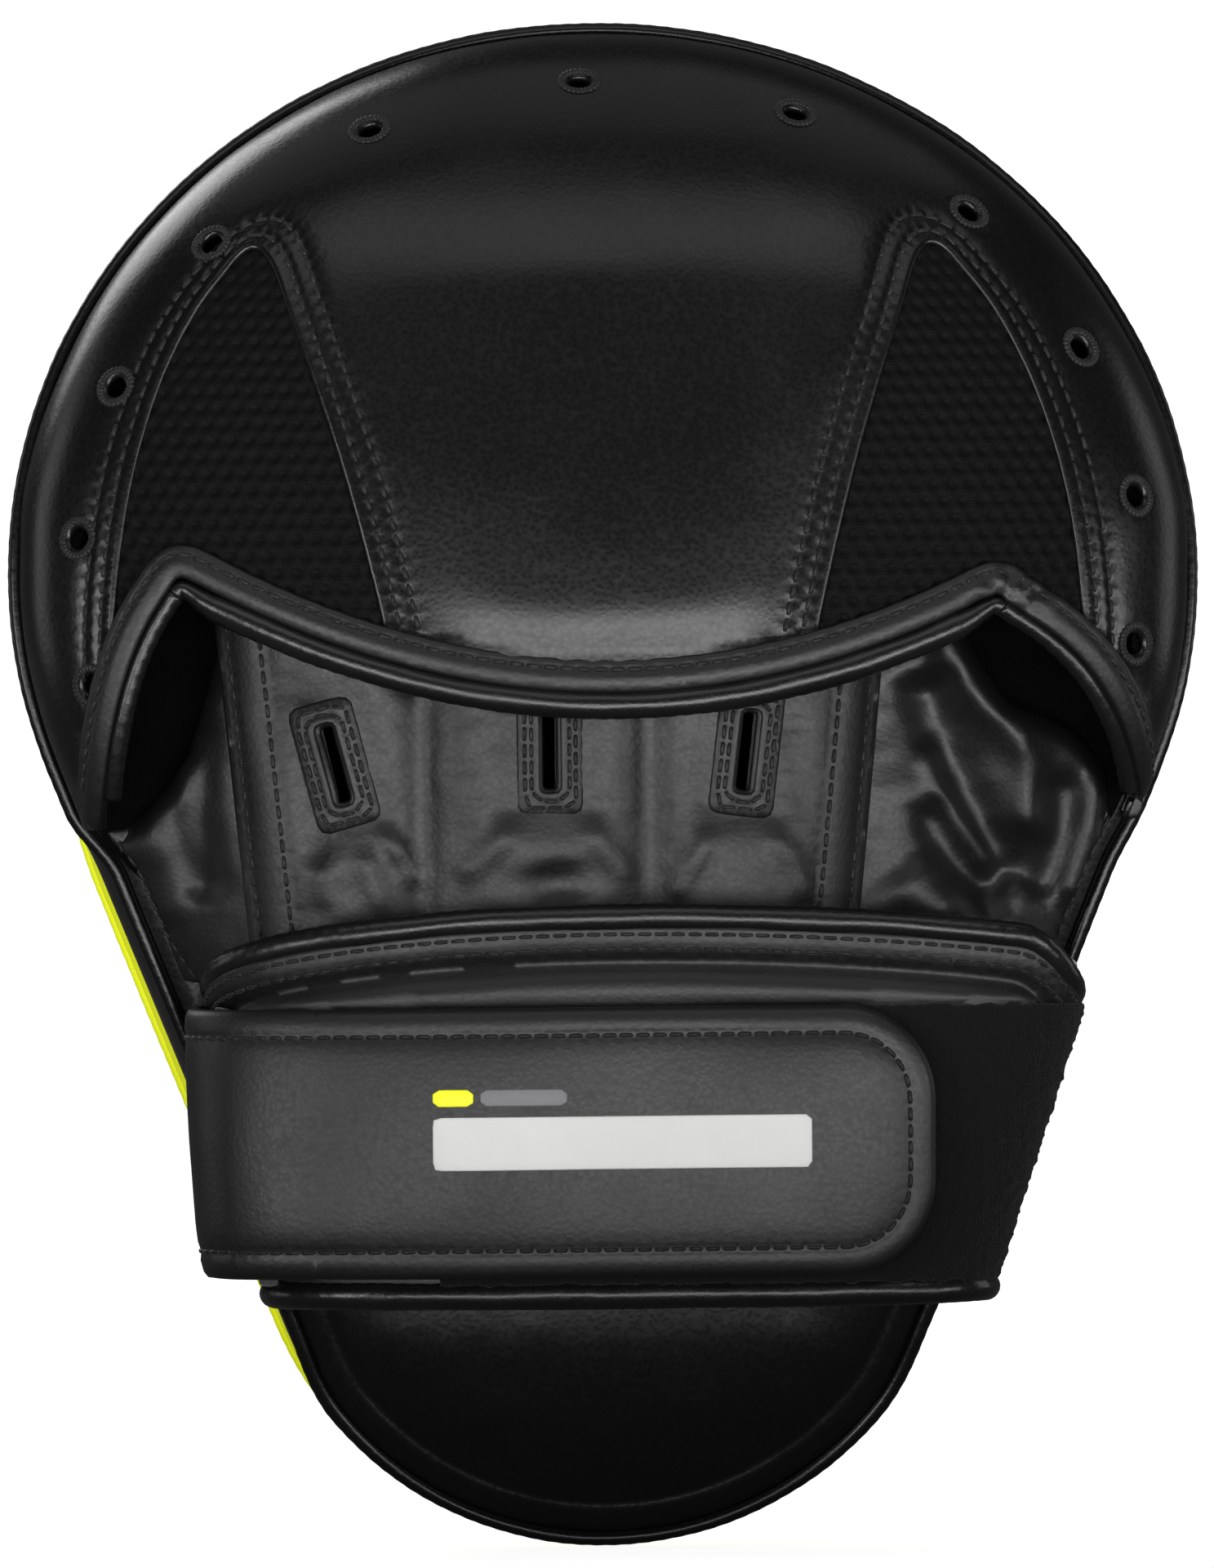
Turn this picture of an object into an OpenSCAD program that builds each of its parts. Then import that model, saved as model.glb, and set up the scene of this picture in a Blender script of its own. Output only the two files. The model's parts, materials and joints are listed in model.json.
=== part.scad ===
// Curved focus mitt for a left hand, standing with its fingertip end up.
// +Z runs to the fingertip end, +Y out of the striking face and +X to the thumb side.
// The origin is the centre of the striking face. All sizes are millimetres.

/* [Pad] */
// Length of the pad from heel to fingertip end
pad_length = 245; // [236:1:256]
// Width of the pad across its crown
pad_width = 189; // [182:1:198]
// Thickness of the pad
pad_thickness = 30; // [28:1:34]
// Radius of the round heel
heel_radius = 56; // [52:1:60]
// Radius of the curve that the pad is bent to, end to end
bend_radius = 310; // [290:5:380]

/* [Hood] */
// Height of the finger hood over the back of the pad
hood_height = 32; // [31:0.5:34]
// Level of the hem's lowest point, at the middle
hem_level = 15; // [13:0.5:17]
// Number of vent eyelets round the crown, an odd number
eyelet_count = 11; // [9:2:11]

/* [Glove] */
// Sideways place of the glove's middle, which leaves room for the thumb
glove_x = -9.5; // [-12:0.5:-7]
// Half width of the knuckle panel at its upper end
glove_half_width = 55; // [52:1:57]

/* [Cuff] */
// Distance from the striking face's plane to the top of the cuff
cuff_top = 64; // [63:0.5:66]
// Level of the cuff's lower edge
cuff_low = -79.8; // [-81:0.1:-79.6]
// Level of the cuff's upper edge, at the middle
cuff_high = -23.5; // [-24:0.5:-22]

/* [Strap] */
// Width of the wrist strap
strap_width = 41; // [36:1:42]
// Level of the strap's middle
strap_level = -57.3; // [-58:0.1:-57]
// Sideways place of the strap's round end
strap_tip_x = 49.5; // [44:0.5:51]
// Sideways place of the root hinge, where the strap leaves the mitt's little-finger side
strap_root_x = -62; // [-63:0.5:-61]
// Sideways place of the peel hinge, where the hook patch lets go
strap_peel_x = -36; // [-40:1:-34]

/* [Materials] */
// Thickness of the synthetic leather
leather = 1.6; // [1.2:0.1:1.8]
// Thickness of the knitted lining
lining = 0.8; // [0.6:0.1:1]
// Thickness of one half of the hook-and-loop fastening
fastener = 1.2; // [1:0.1:1.4]
// Radius of the edge welts
welt_radius = 1.2; // [1:0.1:1.4]
// Radius of the rolled bindings
binding_radius = 2.3; // [2:0.1:2.5]

/* [Hidden] */
gap = 0.25;                                  // between neighbouring plies
reach = 150;                                 // longer than half of the pad, for cutting bodies
$fn = 48;

crown_across = pad_width / 2;
crown_up = 0.36 * pad_length;
crown_z = pad_length / 2 - crown_up;
heel_z = heel_radius - pad_length / 2;
pad_top = pad_length / 2;

hem_curve = 0.0041;                          // how fast the hem climbs towards its corners
hem_left = [-71.5, hem_level + 17];          // corners of the hem
hem_right = [64, hem_level + 13.5];
left_foot = [-82.5, -6];                     // where the edges beside the hand reach the pad
right_foot = [86.5, -6];
hood_low_z = -6;
leaf_shift = -2;                             // the mesh inserts sit off centre, away from the thumb
hood_shoulder_z = 80;                        // the hood keeps its full height up to this level
hood_squareness = 2.5;                       // power of the hood's arch
seam_allowance = 0.3;                        // between panels that are sewn edge to edge
foam_ply = 3;

pad_back = -pad_thickness;
palm_surface = pad_back - gap - lining;      // the palm lining's free side, before the bend

glove_top_z = 38;
glove_low_z = -27;
glove_height = 22.5;                         // at its upper end; it rises towards the wrist
crease_x = [-31, 5.8];                       // the two creases between the three knuckle pads
slots = [[-45, 3.5, -15], [-10.3, 5.5, 0], [21.6, 5, 7]];    // x, z and lean of each vent slot
slot_size = [3.2, 13];
frame_size = [9.5, 18.5];

strap_gap = 0.3;
strap_leather = 3;
strap_inner = fastener + strap_gap + fastener + 0.2;          // from the cuff's surface to the strap
strap_low = strap_level - strap_width / 2;
strap_high = strap_level + strap_width / 2;
strap_left = 72;                             // half width of the strap's arch
tip_radius = 13;

// ---------- The pad's outline: an elliptical crown and a round heel, joined by tangents ----------

function lean_sine(s = 0.4, n = 12) = n == 0 ? s :
    lean_sine((sqrt(crown_across ^ 2 * (1 - s ^ 2) + crown_up ^ 2 * s ^ 2) - heel_radius)
              / (crown_z - heel_z), n - 1);
lean = asin(lean_sine());

// The outline's point whose outward normal is at angle a, counted from +X.
function rim(a) =
    let (reach_a = sqrt((crown_across * cos(a)) ^ 2 + (crown_up * sin(a)) ^ 2))
    a >= -lean && a <= 180 + lean
        ? [crown_across ^ 2 * cos(a) / reach_a, crown_z + crown_up ^ 2 * sin(a) / reach_a]
        : [heel_radius * cos(a), heel_z + heel_radius * sin(a)];
function rim_inset(a, inset) = rim(a) - inset * [cos(a), sin(a)];

crown_sweep = 180 + 2 * lean;
crown_steps = 40;
heel_steps = 18;
function rim_angle(i) = i <= crown_steps
    ? -lean + crown_sweep * i / crown_steps
    : 180 + lean + 0.01 + (360 - crown_sweep - 0.02) * (i - crown_steps - 1) / heel_steps;
rim_angles = [for (i = [0:crown_steps + heel_steps + 1]) rim_angle(i)];
// Points along the straight run between two neighbouring outline points, for paths that must bend.
tangent_steps = 5;
function outline(inset) = [for (a = rim_angles) rim_inset(a, inset)];
function fine_outline(inset) =
    let (points = outline(inset), count = len(points))
    [for (i = [0:count - 1])
        let (a = points[i], b = points[(i + 1) % count], n = norm(b - a) > 20 ? tangent_steps : 1)
        each [for (k = [0:n - 1]) a + (b - a) * k / n]];

crown_tangent = rim(-lean);
heel_tangent = rim(-lean - 0.01);
function half_width(z) =
    z > crown_tangent[1] ? crown_across * sqrt(max(0, 1 - ((z - crown_z) / crown_up) ^ 2)) :
    z < heel_tangent[1] ? sqrt(max(0, heel_radius ^ 2 - (z - heel_z) ^ 2)) :
    heel_tangent[0] + (crown_tangent[0] - heel_tangent[0])
        * (z - heel_tangent[1]) / (crown_tangent[1] - heel_tangent[1]);

// ---------- Surfaces: each is a function of u, left to right, and v, low to high ----------

function sag(z) = bend_radius - sqrt(bend_radius ^ 2 - z ^ 2);
function mix(a, b, t) = a + (b - a) * t;
function sign_power(c, p) = sign(c) * abs(c) ^ p;
function arch(x, half, p) = (1 - min(1, abs(x) / half) ^ p) ^ (1 / p);

function hood_rise(z) = z < hood_shoulder_z ? hood_height
    : hood_height * sqrt(max(0, 1 - ((z - hood_shoulder_z) / (pad_top - hood_shoulder_z)) ^ 2));
hood_top_z = pad_top - 0.05;
// The hood's edge stands a little higher where the pad bends away, so that it stays clear of it.
function hood_base(z) = pad_back + sag(z) - gap - leather * max(0, z) / sqrt(bend_radius ^ 2 - z ^ 2);
function hood(u, v) =
    let (a = 180 * (1 - u), z = mix(hood_low_z, hood_top_z, sin(90 * v)), p = 2 / hood_squareness)
    [half_width(z) * sign_power(cos(a), p),
     hood_base(z) - hood_rise(z) * abs(sin(a)) ^ p,
     z];
function hood_y(x, z) =
    hood_base(z) - hood_rise(z) * arch(x, half_width(z), hood_squareness);
function hood_normal(x, z) =
    let (e = 0.5)
    unit([(hood_y(x + e, z) - hood_y(x - e, z)) / (2 * e), -1,
          (hood_y(x, z + e) - hood_y(x, z - e)) / (2 * e)]);

function glove_half(z) = glove_half_width + (z - glove_top_z) * 0.1;
function glove_pad(x) =
    let (pads = [[glove_x - glove_half_width, crease_x[0]], crease_x,
                 [crease_x[1], glove_x + glove_half_width]],
         inside = [for (p = pads) if (x >= p[0] && x < p[1]) (x - p[0]) / (p[1] - p[0])])
    len(inside) == 0 ? 0 : 2.5 * sin(180 * inside[0]) ^ 0.7;
function glove_y(x, z) =
    let (rise = glove_height - 2.5 + (glove_top_z - z) * 0.07)
    pad_back + sag(z) - rise * arch(x - glove_x, 1.12 * glove_half(z), 2.6) - glove_pad(x);
function glove(u, v) =
    let (z = mix(glove_low_z, glove_top_z, v), x = glove_x + glove_half(z) * (2 * u - 1))
    [x, glove_y(x, z), z];

// The cuff is widest above its feet, which turn in to sit on the pad just inside its edge.
function cuff_half(x, z) = x < 0 ? 63 + 0.08 * (z + 84) : 62 + 0.32 * (z + 84);
function cuff_power(x) = x < 0 ? 3 : 5;
function turn_in(half, foot, h) = max(0, half - foot) * max(0, 1 - h) ^ 2;
cuff_dip = 8;                                // how far the upper edge drops towards the cuff's feet
function cuff_crest(x, h) = cuff_high - 0.0012 * x ^ 2 - cuff_dip * (1 - h) ^ 1.5;
function cuff_point(c, s, z) =
    let (p = 2 / cuff_power(c), foot_y = pad_back + sag(z) - 0.3, half = cuff_half(c, z), h = abs(s) ^ p,
         foot_x = half_width(z) - (c < 0 ? 9 : 4))
    [half * sign_power(c, p) - sign(c) * turn_in(half, foot_x, h), foot_y + (-cuff_top - foot_y) * h, z];
function cuff(u, v) =
    let (a = 180 * (1 - u), x = 67 * sign_power(cos(a), 2 / cuff_power(cos(a))),
         h = sin(a) ^ (2 / cuff_power(cos(a))))
    cuff_point(cos(a), sin(a), mix(cuff_low, cuff_crest(x, h), v));
function cuff_y(x, z) =
    let (foot_y = pad_back + sag(z) - 0.3)
    foot_y + (-cuff_top - foot_y) * arch(x, cuff_half(x, z), cuff_power(x));

// The strap's outer side. On the little-finger side its arch doesn't change along Z, so that the
// strap can turn about hinges along Z. On the thumb side it lies along the cuff.
strap_top = cuff_top + strap_inner + strap_leather;
strap_foot = pad_back - 0.5;
function strap_y(x, z) =
    x < 0 ? strap_foot + (-strap_top - strap_foot) * arch(x, strap_left, 3)
          : cuff_y(x, z) - strap_inner - strap_leather;
function strap_between(x0, x1) = function (u, v)
    let (x = mix(x0, x1, u), z = mix(strap_low, strap_high, v)) [x, strap_y(x, z), z];
anchor_turn = (-(strap_root_x - 0.3) / strap_left) ^ 1.5;       // cosine where the anchor ends
anchor_rise = sqrt(1 - anchor_turn ^ 2) ^ (2 / 3);
function strap_side(u, v) =
    let (a = mix(0, acos(anchor_turn), u), h = sin(a) ^ (2 / 3), z = mix(strap_low, strap_high, v),
         foot_y = pad_back + sag(z) - 0.3)
    [-strap_left * cos(a) ^ (2 / 3) + turn_in(strap_left, half_width(z) - 3, h / anchor_rise),
     strap_foot + (-strap_top - strap_foot) * h + (foot_y - strap_foot) * (1 - h / anchor_rise), z];

function loop_surface(u, v) =
    let (a = mix(118, 12, u), z = mix(max(strap_low - 1.5, cuff_low + 0.3), strap_high + 2, v))
    cuff_point(cos(a), sin(a), z);

// The gussets hang between the edges beside the hand and the knuckle panel.
function quadratic(a, b, c, t) = (1 - t) ^ 2 * a + 2 * t * (1 - t) * b + t ^ 2 * c;
left_edge_bend = [-81, 20];
right_edge_bend = [84, 18];
function left_edge(t) = quadratic(left_foot, left_edge_bend, hem_left, t);
function right_edge(t) = quadratic(right_foot, right_edge_bend, hem_right, t);

// A gusset runs between an outer line beside the pad's edge and the knuckle panel's side.
// slack is how far its middle sags towards the pad.
gusset_low_z = -27;
function gusset(side, slack, u, v) =
    let (z = mix(gusset_low_z, 18, v),
         outer_x = side * (half_width(z) - mix(5, 22, v ^ 2)),
         inner_x = glove_x + side * (glove_half(z) + 1),
         outer = [outer_x, pad_back + sag(z) - 3, z],
         inner = [inner_x, min(glove_y(inner_x, z), pad_back + sag(z) - 9) , z],
         t = side < 0 ? u : 1 - u,
         point = mix(outer, inner, t))
    [point[0], min(point[1] + slack * sin(180 * t), pad_back + sag(z) - 3), z];

// ---------- Building blocks ----------

function unit(v) = v / norm(v);
function normal_at(f, u, v) =
    let (e = 0.004,
         across = f(min(u + e, 1), v) - f(max(u - e, 0), v),
         along = f(u, min(v + e, 1)) - f(u, max(v - e, 0)))
    unit(cross(across, along));

// A ply that follows surface f, from depth near to depth far under it, on an nu by nv grid.
module ply(f, near, far, nu, nv) {
    row = nv + 1;
    half = (nu + 1) * row;
    uv = [for (i = [0:nu], j = [0:nv]) [i / nu, j / nv]];
    normals = [for (p = uv) normal_at(f, p[0], p[1])];
    skin = [for (p = uv) f(p[0], p[1])];
    points = concat([for (k = [0:half - 1]) skin[k] - near * normals[k]],
                    [for (k = [0:half - 1]) skin[k] - far * normals[k]]);
    edge = concat([for (i = [0:nu - 1]) i * row], [for (j = [0:nv - 1]) nu * row + j],
                  [for (i = [nu:-1:1]) i * row + nv], [for (j = [nv:-1:1]) j]);
    count = len(edge);
    faces = concat(
        [for (i = [0:nu - 1], j = [0:nv - 1]) let (k = i * row + j) each
            [[k, k + 1, k + row + 1], [k, k + row + 1, k + row],
             [half + k, half + k + row + 1, half + k + 1], [half + k, half + k + row, half + k + row + 1]]],
        [for (n = [0:count - 1]) let (a = edge[n], b = edge[(n + 1) % count]) each
            [[a, b, half + b], [a, half + b, half + a]]]);
    polyhedron(points, faces);
}

// A round cord of radius r along path(t). side is any direction that the path never runs along.
module cord(path, r, steps, side, closed = false, sides = 8) {
    rings = closed ? steps : steps + 1;
    e = 0.002;
    points = [for (i = [0:rings - 1]) let (
            t = i / steps, ahead = closed ? t + e : min(t + e, 1), behind = closed ? t - e : max(t - e, 0),
            along = unit(path(ahead) - path(behind)), a = unit(cross(along, side)), b = cross(along, a))
        each [for (k = [0:sides - 1]) let (w = 360 * k / sides) path(t) + r * (cos(w) * a + sin(w) * b)]];
    links = closed ? rings : rings - 1;
    walls = [for (i = [0:links - 1], k = [0:sides - 1]) let (
            p = i * sides, q = ((i + 1) % rings) * sides, n = (k + 1) % sides)
        each [[p + k, q + n, p + n], [p + k, q + k, q + n]]];
    caps = closed ? [] : [[for (k = [0:sides - 1]) k],
                          [for (k = [sides - 1:-1:0]) (rings - 1) * sides + k]];
    polyhedron(points, concat(walls, caps));
}

// Stands a drawing in the XZ plane and extrudes it through the whole mitt.
module upright() rotate([90, 0, 0]) linear_extrude(2 * reach, center = true) children();

// A slab of the pad between two depths behind the striking face, bent to bend_radius.
module bent_slab(front, back) {
    difference() {
        translate([-reach, back + bend_radius, 0]) rotate([0, 90, 0]) cylinder(r = bend_radius, h = 2 * reach, $fn = 180);
        translate([-reach - 1, front + bend_radius, 0]) rotate([0, 90, 0])
            cylinder(r = bend_radius, h = 2 * reach + 2, $fn = 180);
    }
}
module pad_layer(inset, front, back) intersection() {
    upright() polygon(outline(inset));
    bent_slab(front, back);
}
module pad_ring(inset, width, front, back) intersection() {
    upright() difference() {
        polygon(outline(inset));
        polygon(outline(inset + width));
    }
    bent_slab(front, back);
}

// ---------- Pad ----------

edge_band_depth = 11;
module striking_face() color([0.06, 0.06, 0.07]) pad_layer(0, 0, -leather);
module face_foam() color([0.85, 0.85, 0.8]) pad_layer(leather + gap, -leather - gap, -9);
module impact_core() color([0.25, 0.25, 0.28]) pad_layer(leather + gap, -9 - gap, -20);
module back_foam() color([0.8, 0.8, 0.78]) pad_layer(leather + gap, -20 - gap, pad_back + leather + gap);
module palm_panel() color([0.08, 0.08, 0.09]) pad_layer(0, pad_back + leather, pad_back);
module edge_band() color([0.86, 0.92, 0.0]) pad_ring(0, leather, -leather - gap, -edge_band_depth);
module side_wall() color([0.07, 0.07, 0.08])
    pad_ring(0, leather, -edge_band_depth - gap, pad_back + leather + gap);

// A welt lies against the outline, at a depth behind the striking face.
module welt(depth) {
    points = fine_outline(-welt_radius - 0.1);
    count = len(points);
    path = function (t)
        let (s = (t - floor(t)) * count, i = floor(s), p = mix(points[i % count], points[(i + 1) % count], s - i))
        [p[0], depth + sag(p[1]), p[1]];
    cord(path, welt_radius, count, [0, 1, 0], closed = true, sides = 6);
}
module front_welt() color([0.86, 0.92, 0.0]) welt(-leather / 2);
module back_welt() color([0.05, 0.05, 0.05]) welt(pad_back + leather / 2);

// ---------- Hood ----------

// The gap that the hand shows in: under the hem and between the edges beside the hand.
function hem_z(x) = hem_level + hem_curve * x ^ 2;
module opening_outline(spread = 0) polygon(concat(
    [[left_foot[0] - spread, -reach]],
    [for (t = [0:0.2:0.8]) left_edge(t) + [-spread, 0]],
    [for (t = [0:1 / 18:1]) let (x = mix(hem_left[0], hem_right[0], t)) [x, hem_z(x) + spread]],
    [for (t = [1:-0.2:0]) right_edge(t) + [spread, 0]],
    [[right_foot[0] + spread, -reach]]));

// A leaf-shaped mesh insert: an elliptical outer edge and a straight inner one.
module leaf(side, grow) {
    wide = 34 + grow;
    tall = 71 + grow;
    tip = 66;
    translate([leaf_shift, 0]) polygon(concat(
        [for (a = [-25:7:tip]) [side * (45 + wide * cos(a)), 20 + tall * sin(a)]],
        [[side * (54.5 - grow), 86.5 + grow], [side * (51.5 - grow), 83.5],
         [side * (41 - grow), 55], [side * (30 - grow), 10], [side * (30 - grow), -12]]));
}
module hood_ply(near, far, nu = 34, nv = 15) ply(function (u, v) hood(u, v), near, far, nu, nv);

eyelet_inset = 8.5;
function eyelet_angle(k) = 92 + sign(k) * (22.6 * abs(k) - 0.45 * k ^ 2);
module at_eyelets() {
    last = (eyelet_count - 1) / 2;
    for (k = [-last:last]) {
        p = rim_inset(eyelet_angle(k), eyelet_inset);
        n = hood_normal(p[0], p[1]);
        translate([p[0], hood_y(p[0], p[1]), p[1]]) rotate([0, acos(n[2]), atan2(n[1], n[0])]) children();
    }
}
eyelet_hole = 2.5;
module back_cover() color([0.07, 0.07, 0.08]) difference() {
    hood_ply(0, leather);
    upright() opening_outline();
    for (side = [-1, 1]) upright() leaf(side, 0);
    at_eyelets() cylinder(r = eyelet_hole, h = 8, center = true);
}
module hood_mesh(side) color([0.13, 0.13, 0.14]) difference() {
    intersection() {
        hood_ply(0.1, leather - 0.2);
        upright() leaf(side, -seam_allowance);
    }
    upright() opening_outline(0.4);
}
module little_finger_mesh() hood_mesh(-1);
module thumb_mesh() hood_mesh(1);

// The foam stops short of the mesh, so that the mesh can breathe.
module hood_foam() color([0.8, 0.8, 0.78]) difference() {
    intersection() {
        hood_ply(leather + gap, leather + gap + foam_ply, 30, 12);
        upright() polygon([[-27, 0], [-38, 55], [-48, 84], [48, 84], [38, 55], [27, 0]]);
    }
    upright() opening_outline(3);
}
module hood_lining() color([0.15, 0.15, 0.16]) difference() {
    intersection() {
        hood_ply(leather + foam_ply + 2 * gap, leather + foam_ply + 2 * gap + lining, 26, 10);
        upright() polygon([[-70, 0], [-74, 40], [-62, 78], [-44, 92], [44, 92], [62, 78], [74, 40], [70, 0]]);
    }
    upright() opening_outline(1);
}

// Bindings lie just outside the cut edges of the leather. turned(p, q) is square to the run p to q.
function turned(p, q) = let (d = unit(q - p)) [d[1], -d[0]];
hem_path = function (t)
    let (x = mix(hem_left[0] + 2, hem_right[0] - 2, t),
         away = (binding_radius + 0.4) * turned([x - 1, hem_z(x - 1)], [x + 1, hem_z(x + 1)]))
    [x + away[0], hood_y(x, hem_z(x) + 1) + 0.8, hem_z(x) + away[1]];
module hem_binding() color([0.05, 0.05, 0.05]) cord(hem_path, binding_radius, 26, [0, 0, 1]);
edge_binding_radius = 1.5;
function edge_path(edge, side) = function (t)
    let (k = mix(0.16, 0.86, t), p = edge(k),
         away = side * -(edge_binding_radius + 0.5) * turned(edge(k + 0.01), edge(k - 0.01)))
    [p[0] + away[0], hood_y(p[0], p[1]) + 0.3, p[1] + away[1]];
module little_finger_edge_binding() color([0.05, 0.05, 0.05])
    cord(edge_path(function (t) left_edge(t), 1), edge_binding_radius, 14, [0, 1, 0]);
module thumb_edge_binding() color([0.05, 0.05, 0.05])
    cord(edge_path(function (t) right_edge(t), -1), edge_binding_radius, 14, [0, 1, 0]);

module vent_eyelets() color([0.1, 0.1, 0.1]) at_eyelets() translate([0, 0, 0.5]) difference() {
    cylinder(r = 3.7, h = 0.6);
    translate([0, 0, -1]) cylinder(r = eyelet_hole + 0.1, h = 3);
}

// ---------- Glove ----------

module glove_ply(near, far, nu = 34, nv = 7) ply(function (u, v) glove(u, v), near, far, nu, nv);
module at_slots() for (s = slots) translate([s[0], 0, s[1]]) rotate([0, s[2], 0]) children();
module slot_box(size, front, back) translate([-size[0] / 2, front, -size[1] / 2]) cube([size[0], back - front, size[1]]);
module knuckle_panel() color([0.09, 0.09, 0.1]) difference() {
    glove_ply(0, leather);
    at_slots() slot_box(slot_size, -70, -20);
}
module knuckle_pads() color([0.8, 0.8, 0.78]) difference() {
    intersection() {
        glove_ply(leather + gap, leather + gap + foam_ply);
        union() {
            edges = [glove_x - 46, crease_x[0], crease_x[1], glove_x + 44];
            for (k = [0:2]) translate([edges[k] + 2, -80, glove_low_z + 4])
                cube([edges[k + 1] - edges[k] - 4, 60, glove_top_z - glove_low_z - 8]);
        }
    }
    at_slots() slot_box(slot_size + [2, 2], -70, -20);
}
module knuckle_lining() color([0.15, 0.15, 0.16]) difference() {
    glove_ply(leather + foam_ply + 4 * gap, leather + foam_ply + 4 * gap + lining);
    at_slots() slot_box(slot_size + [1, 1], -70, -20);
}
// Each slot has a frame of doubled leather, stitched over the knuckle panel.
module slot_frames() color([0.07, 0.07, 0.08]) difference() {
    intersection() {
        glove_ply(-1.1, -0.2);
        union() at_slots() slot_box(frame_size, -70, -20);
    }
    at_slots() slot_box(slot_size, -71, -19);
}
module palm_lining() color([0.15, 0.15, 0.16]) intersection() {
    upright() polygon([[-58, 86], [58, 86], [68, 40], [58, -30], [37, -78], [-37, -78], [-58, -30], [-68, 40]]);
    bent_slab(pad_back - gap, palm_surface);
}
module little_finger_gusset() color([0.08, 0.08, 0.09])
    ply(function (u, v) gusset(-1, 5, u, v), 0, leather, 8, 8);
module thumb_gusset() color([0.08, 0.08, 0.09])
    ply(function (u, v) gusset(1, 9, u, v), 0, leather, 12, 8);

// ---------- Cuff ----------

// The cuff stands on the pad, so each of its plies is trimmed by a body as deep as the pad's back.
module cuff_ply(near, far, nu, nv) difference() {
    ply(function (u, v) cuff(u, v), near, far, nu, nv);
    translate([-reach, pad_back - gap + bend_radius, 0]) rotate([0, 90, 0])
        cylinder(r = bend_radius, h = 2 * reach, $fn = 180);
}
// The padding stops where the cuff's sides turn down.
padding_depth = 45;
module padded_part() translate([-reach, -padding_depth - reach, -reach]) cube([2 * reach, reach, 2 * reach]);
module cuff_shell() color([0.07, 0.07, 0.08]) cuff_ply(0, leather, 36, 4);
module cuff_foam() color([0.8, 0.8, 0.78]) intersection() {
    cuff_ply(leather + gap, leather + gap + foam_ply, 32, 4);
    padded_part();
}
module cuff_lining() color([0.15, 0.15, 0.16]) intersection() {
    cuff_ply(leather + foam_ply + 2 * gap, leather + foam_ply + 2 * gap + lining, 30, 4);
    padded_part();
}
function cuff_edge(u0, u1, v, rise) = function (t)
    let (p = cuff(mix(u0, u1, t), v), n = normal_at(function (a, b) cuff(a, b), mix(u0, u1, t), v))
    p - 1.2 * n + [0, 0, rise];
module cuff_upper_binding() color([0.05, 0.05, 0.05])
    cord(cuff_edge(0.06, 0.94, 1, binding_radius + 0.3), binding_radius, 30, [0, 0, 1]);
module cuff_lower_binding() color([0.05, 0.05, 0.05])
    cord(cuff_edge(0.06, 0.94, 0, -binding_radius - 0.3), binding_radius, 30, [0, 0, 1]);
module loop_field() color([0.04, 0.04, 0.05])
    ply(function (u, v) loop_surface(u, v), -fastener - 0.1, -0.1, 26, 3);

// An elastic web, a little wider than the strap, lies between the cuff and the strap's anchor.
module elastic_web() color([0.2, 0.2, 0.22])
    ply(function (u, v)
        let (a = mix(160, 128, u))
        cuff_point(cos(a), sin(a), mix(cuff_low + 0.5, strap_high + 3.5, v)),
        -1.3, -0.2, 8, 3);

// ---------- Strap ----------

module strap_piece(x0, x1, near, far, nu) ply(strap_between(x0, x1), near, far, nu, 4);
module strap_anchor() color([0.08, 0.08, 0.09])
    ply(function (u, v) strap_side(u, v), 0, strap_leather, 12, 4);
module strap_root() color([0.08, 0.08, 0.09])
    strap_piece(strap_root_x + 0.3, strap_peel_x - 0.15, 0, strap_leather, 8);

// The tab's round end, drawn from the side that faces the user.
module tab_outline(inset) {
    corner = tip_radius - inset;
    polygon(concat(
        [[strap_peel_x - 30, strap_low + inset]],
        [for (a = [-90:15:0]) [strap_tip_x - tip_radius, strap_low + tip_radius] + corner * [cos(a), sin(a)]],
        [for (a = [0:15:90]) [strap_tip_x - tip_radius, strap_high - tip_radius] + corner * [cos(a), sin(a)]],
        [[strap_peel_x - 30, strap_high - inset]]));
}
module strap_tab() color([0.08, 0.08, 0.09]) intersection() {
    strap_piece(strap_peel_x + 0.15, strap_tip_x + 1, 0, strap_leather - lining - 0.1, 16);
    upright() tab_outline(0);
}
module strap_lining() color([0.15, 0.15, 0.16]) intersection() {
    strap_piece(strap_peel_x + 0.3, strap_tip_x + 1, strap_leather - lining, strap_leather, 16);
    upright() tab_outline(1);
}
module hook_patch() color([0.03, 0.03, 0.03]) intersection() {
    strap_piece(strap_peel_x + 6, strap_tip_x + 1, strap_leather + 0.1, strap_leather + fastener, 14);
    upright() tab_outline(4);
}
module blank_label() color([0.9, 0.9, 0.9])
    ply(function (u, v)
        let (x = mix(-30, 30, u), z = mix(strap_level - 4, strap_level + 4, v)) [x, strap_y(x, z), z],
        -0.5, -0.1, 10, 1);

striking_face();
face_foam();
impact_core();
back_foam();
palm_panel();
edge_band();
side_wall();
front_welt();
back_welt();
back_cover();
little_finger_mesh();
thumb_mesh();
hood_foam();
hood_lining();
hem_binding();
little_finger_edge_binding();
thumb_edge_binding();
vent_eyelets();
knuckle_panel();
knuckle_pads();
knuckle_lining();
slot_frames();
palm_lining();
little_finger_gusset();
thumb_gusset();
cuff_shell();
cuff_foam();
cuff_lining();
cuff_upper_binding();
cuff_lower_binding();
loop_field();
elastic_web();
strap_anchor();
strap_root();
strap_tab();
strap_lining();
hook_patch();
blank_label();
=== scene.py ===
import json
import math

import bpy
import numpy as np
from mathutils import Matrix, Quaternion, Vector, geometry, kdtree
from mathutils.bvhtree import BVHTree


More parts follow.
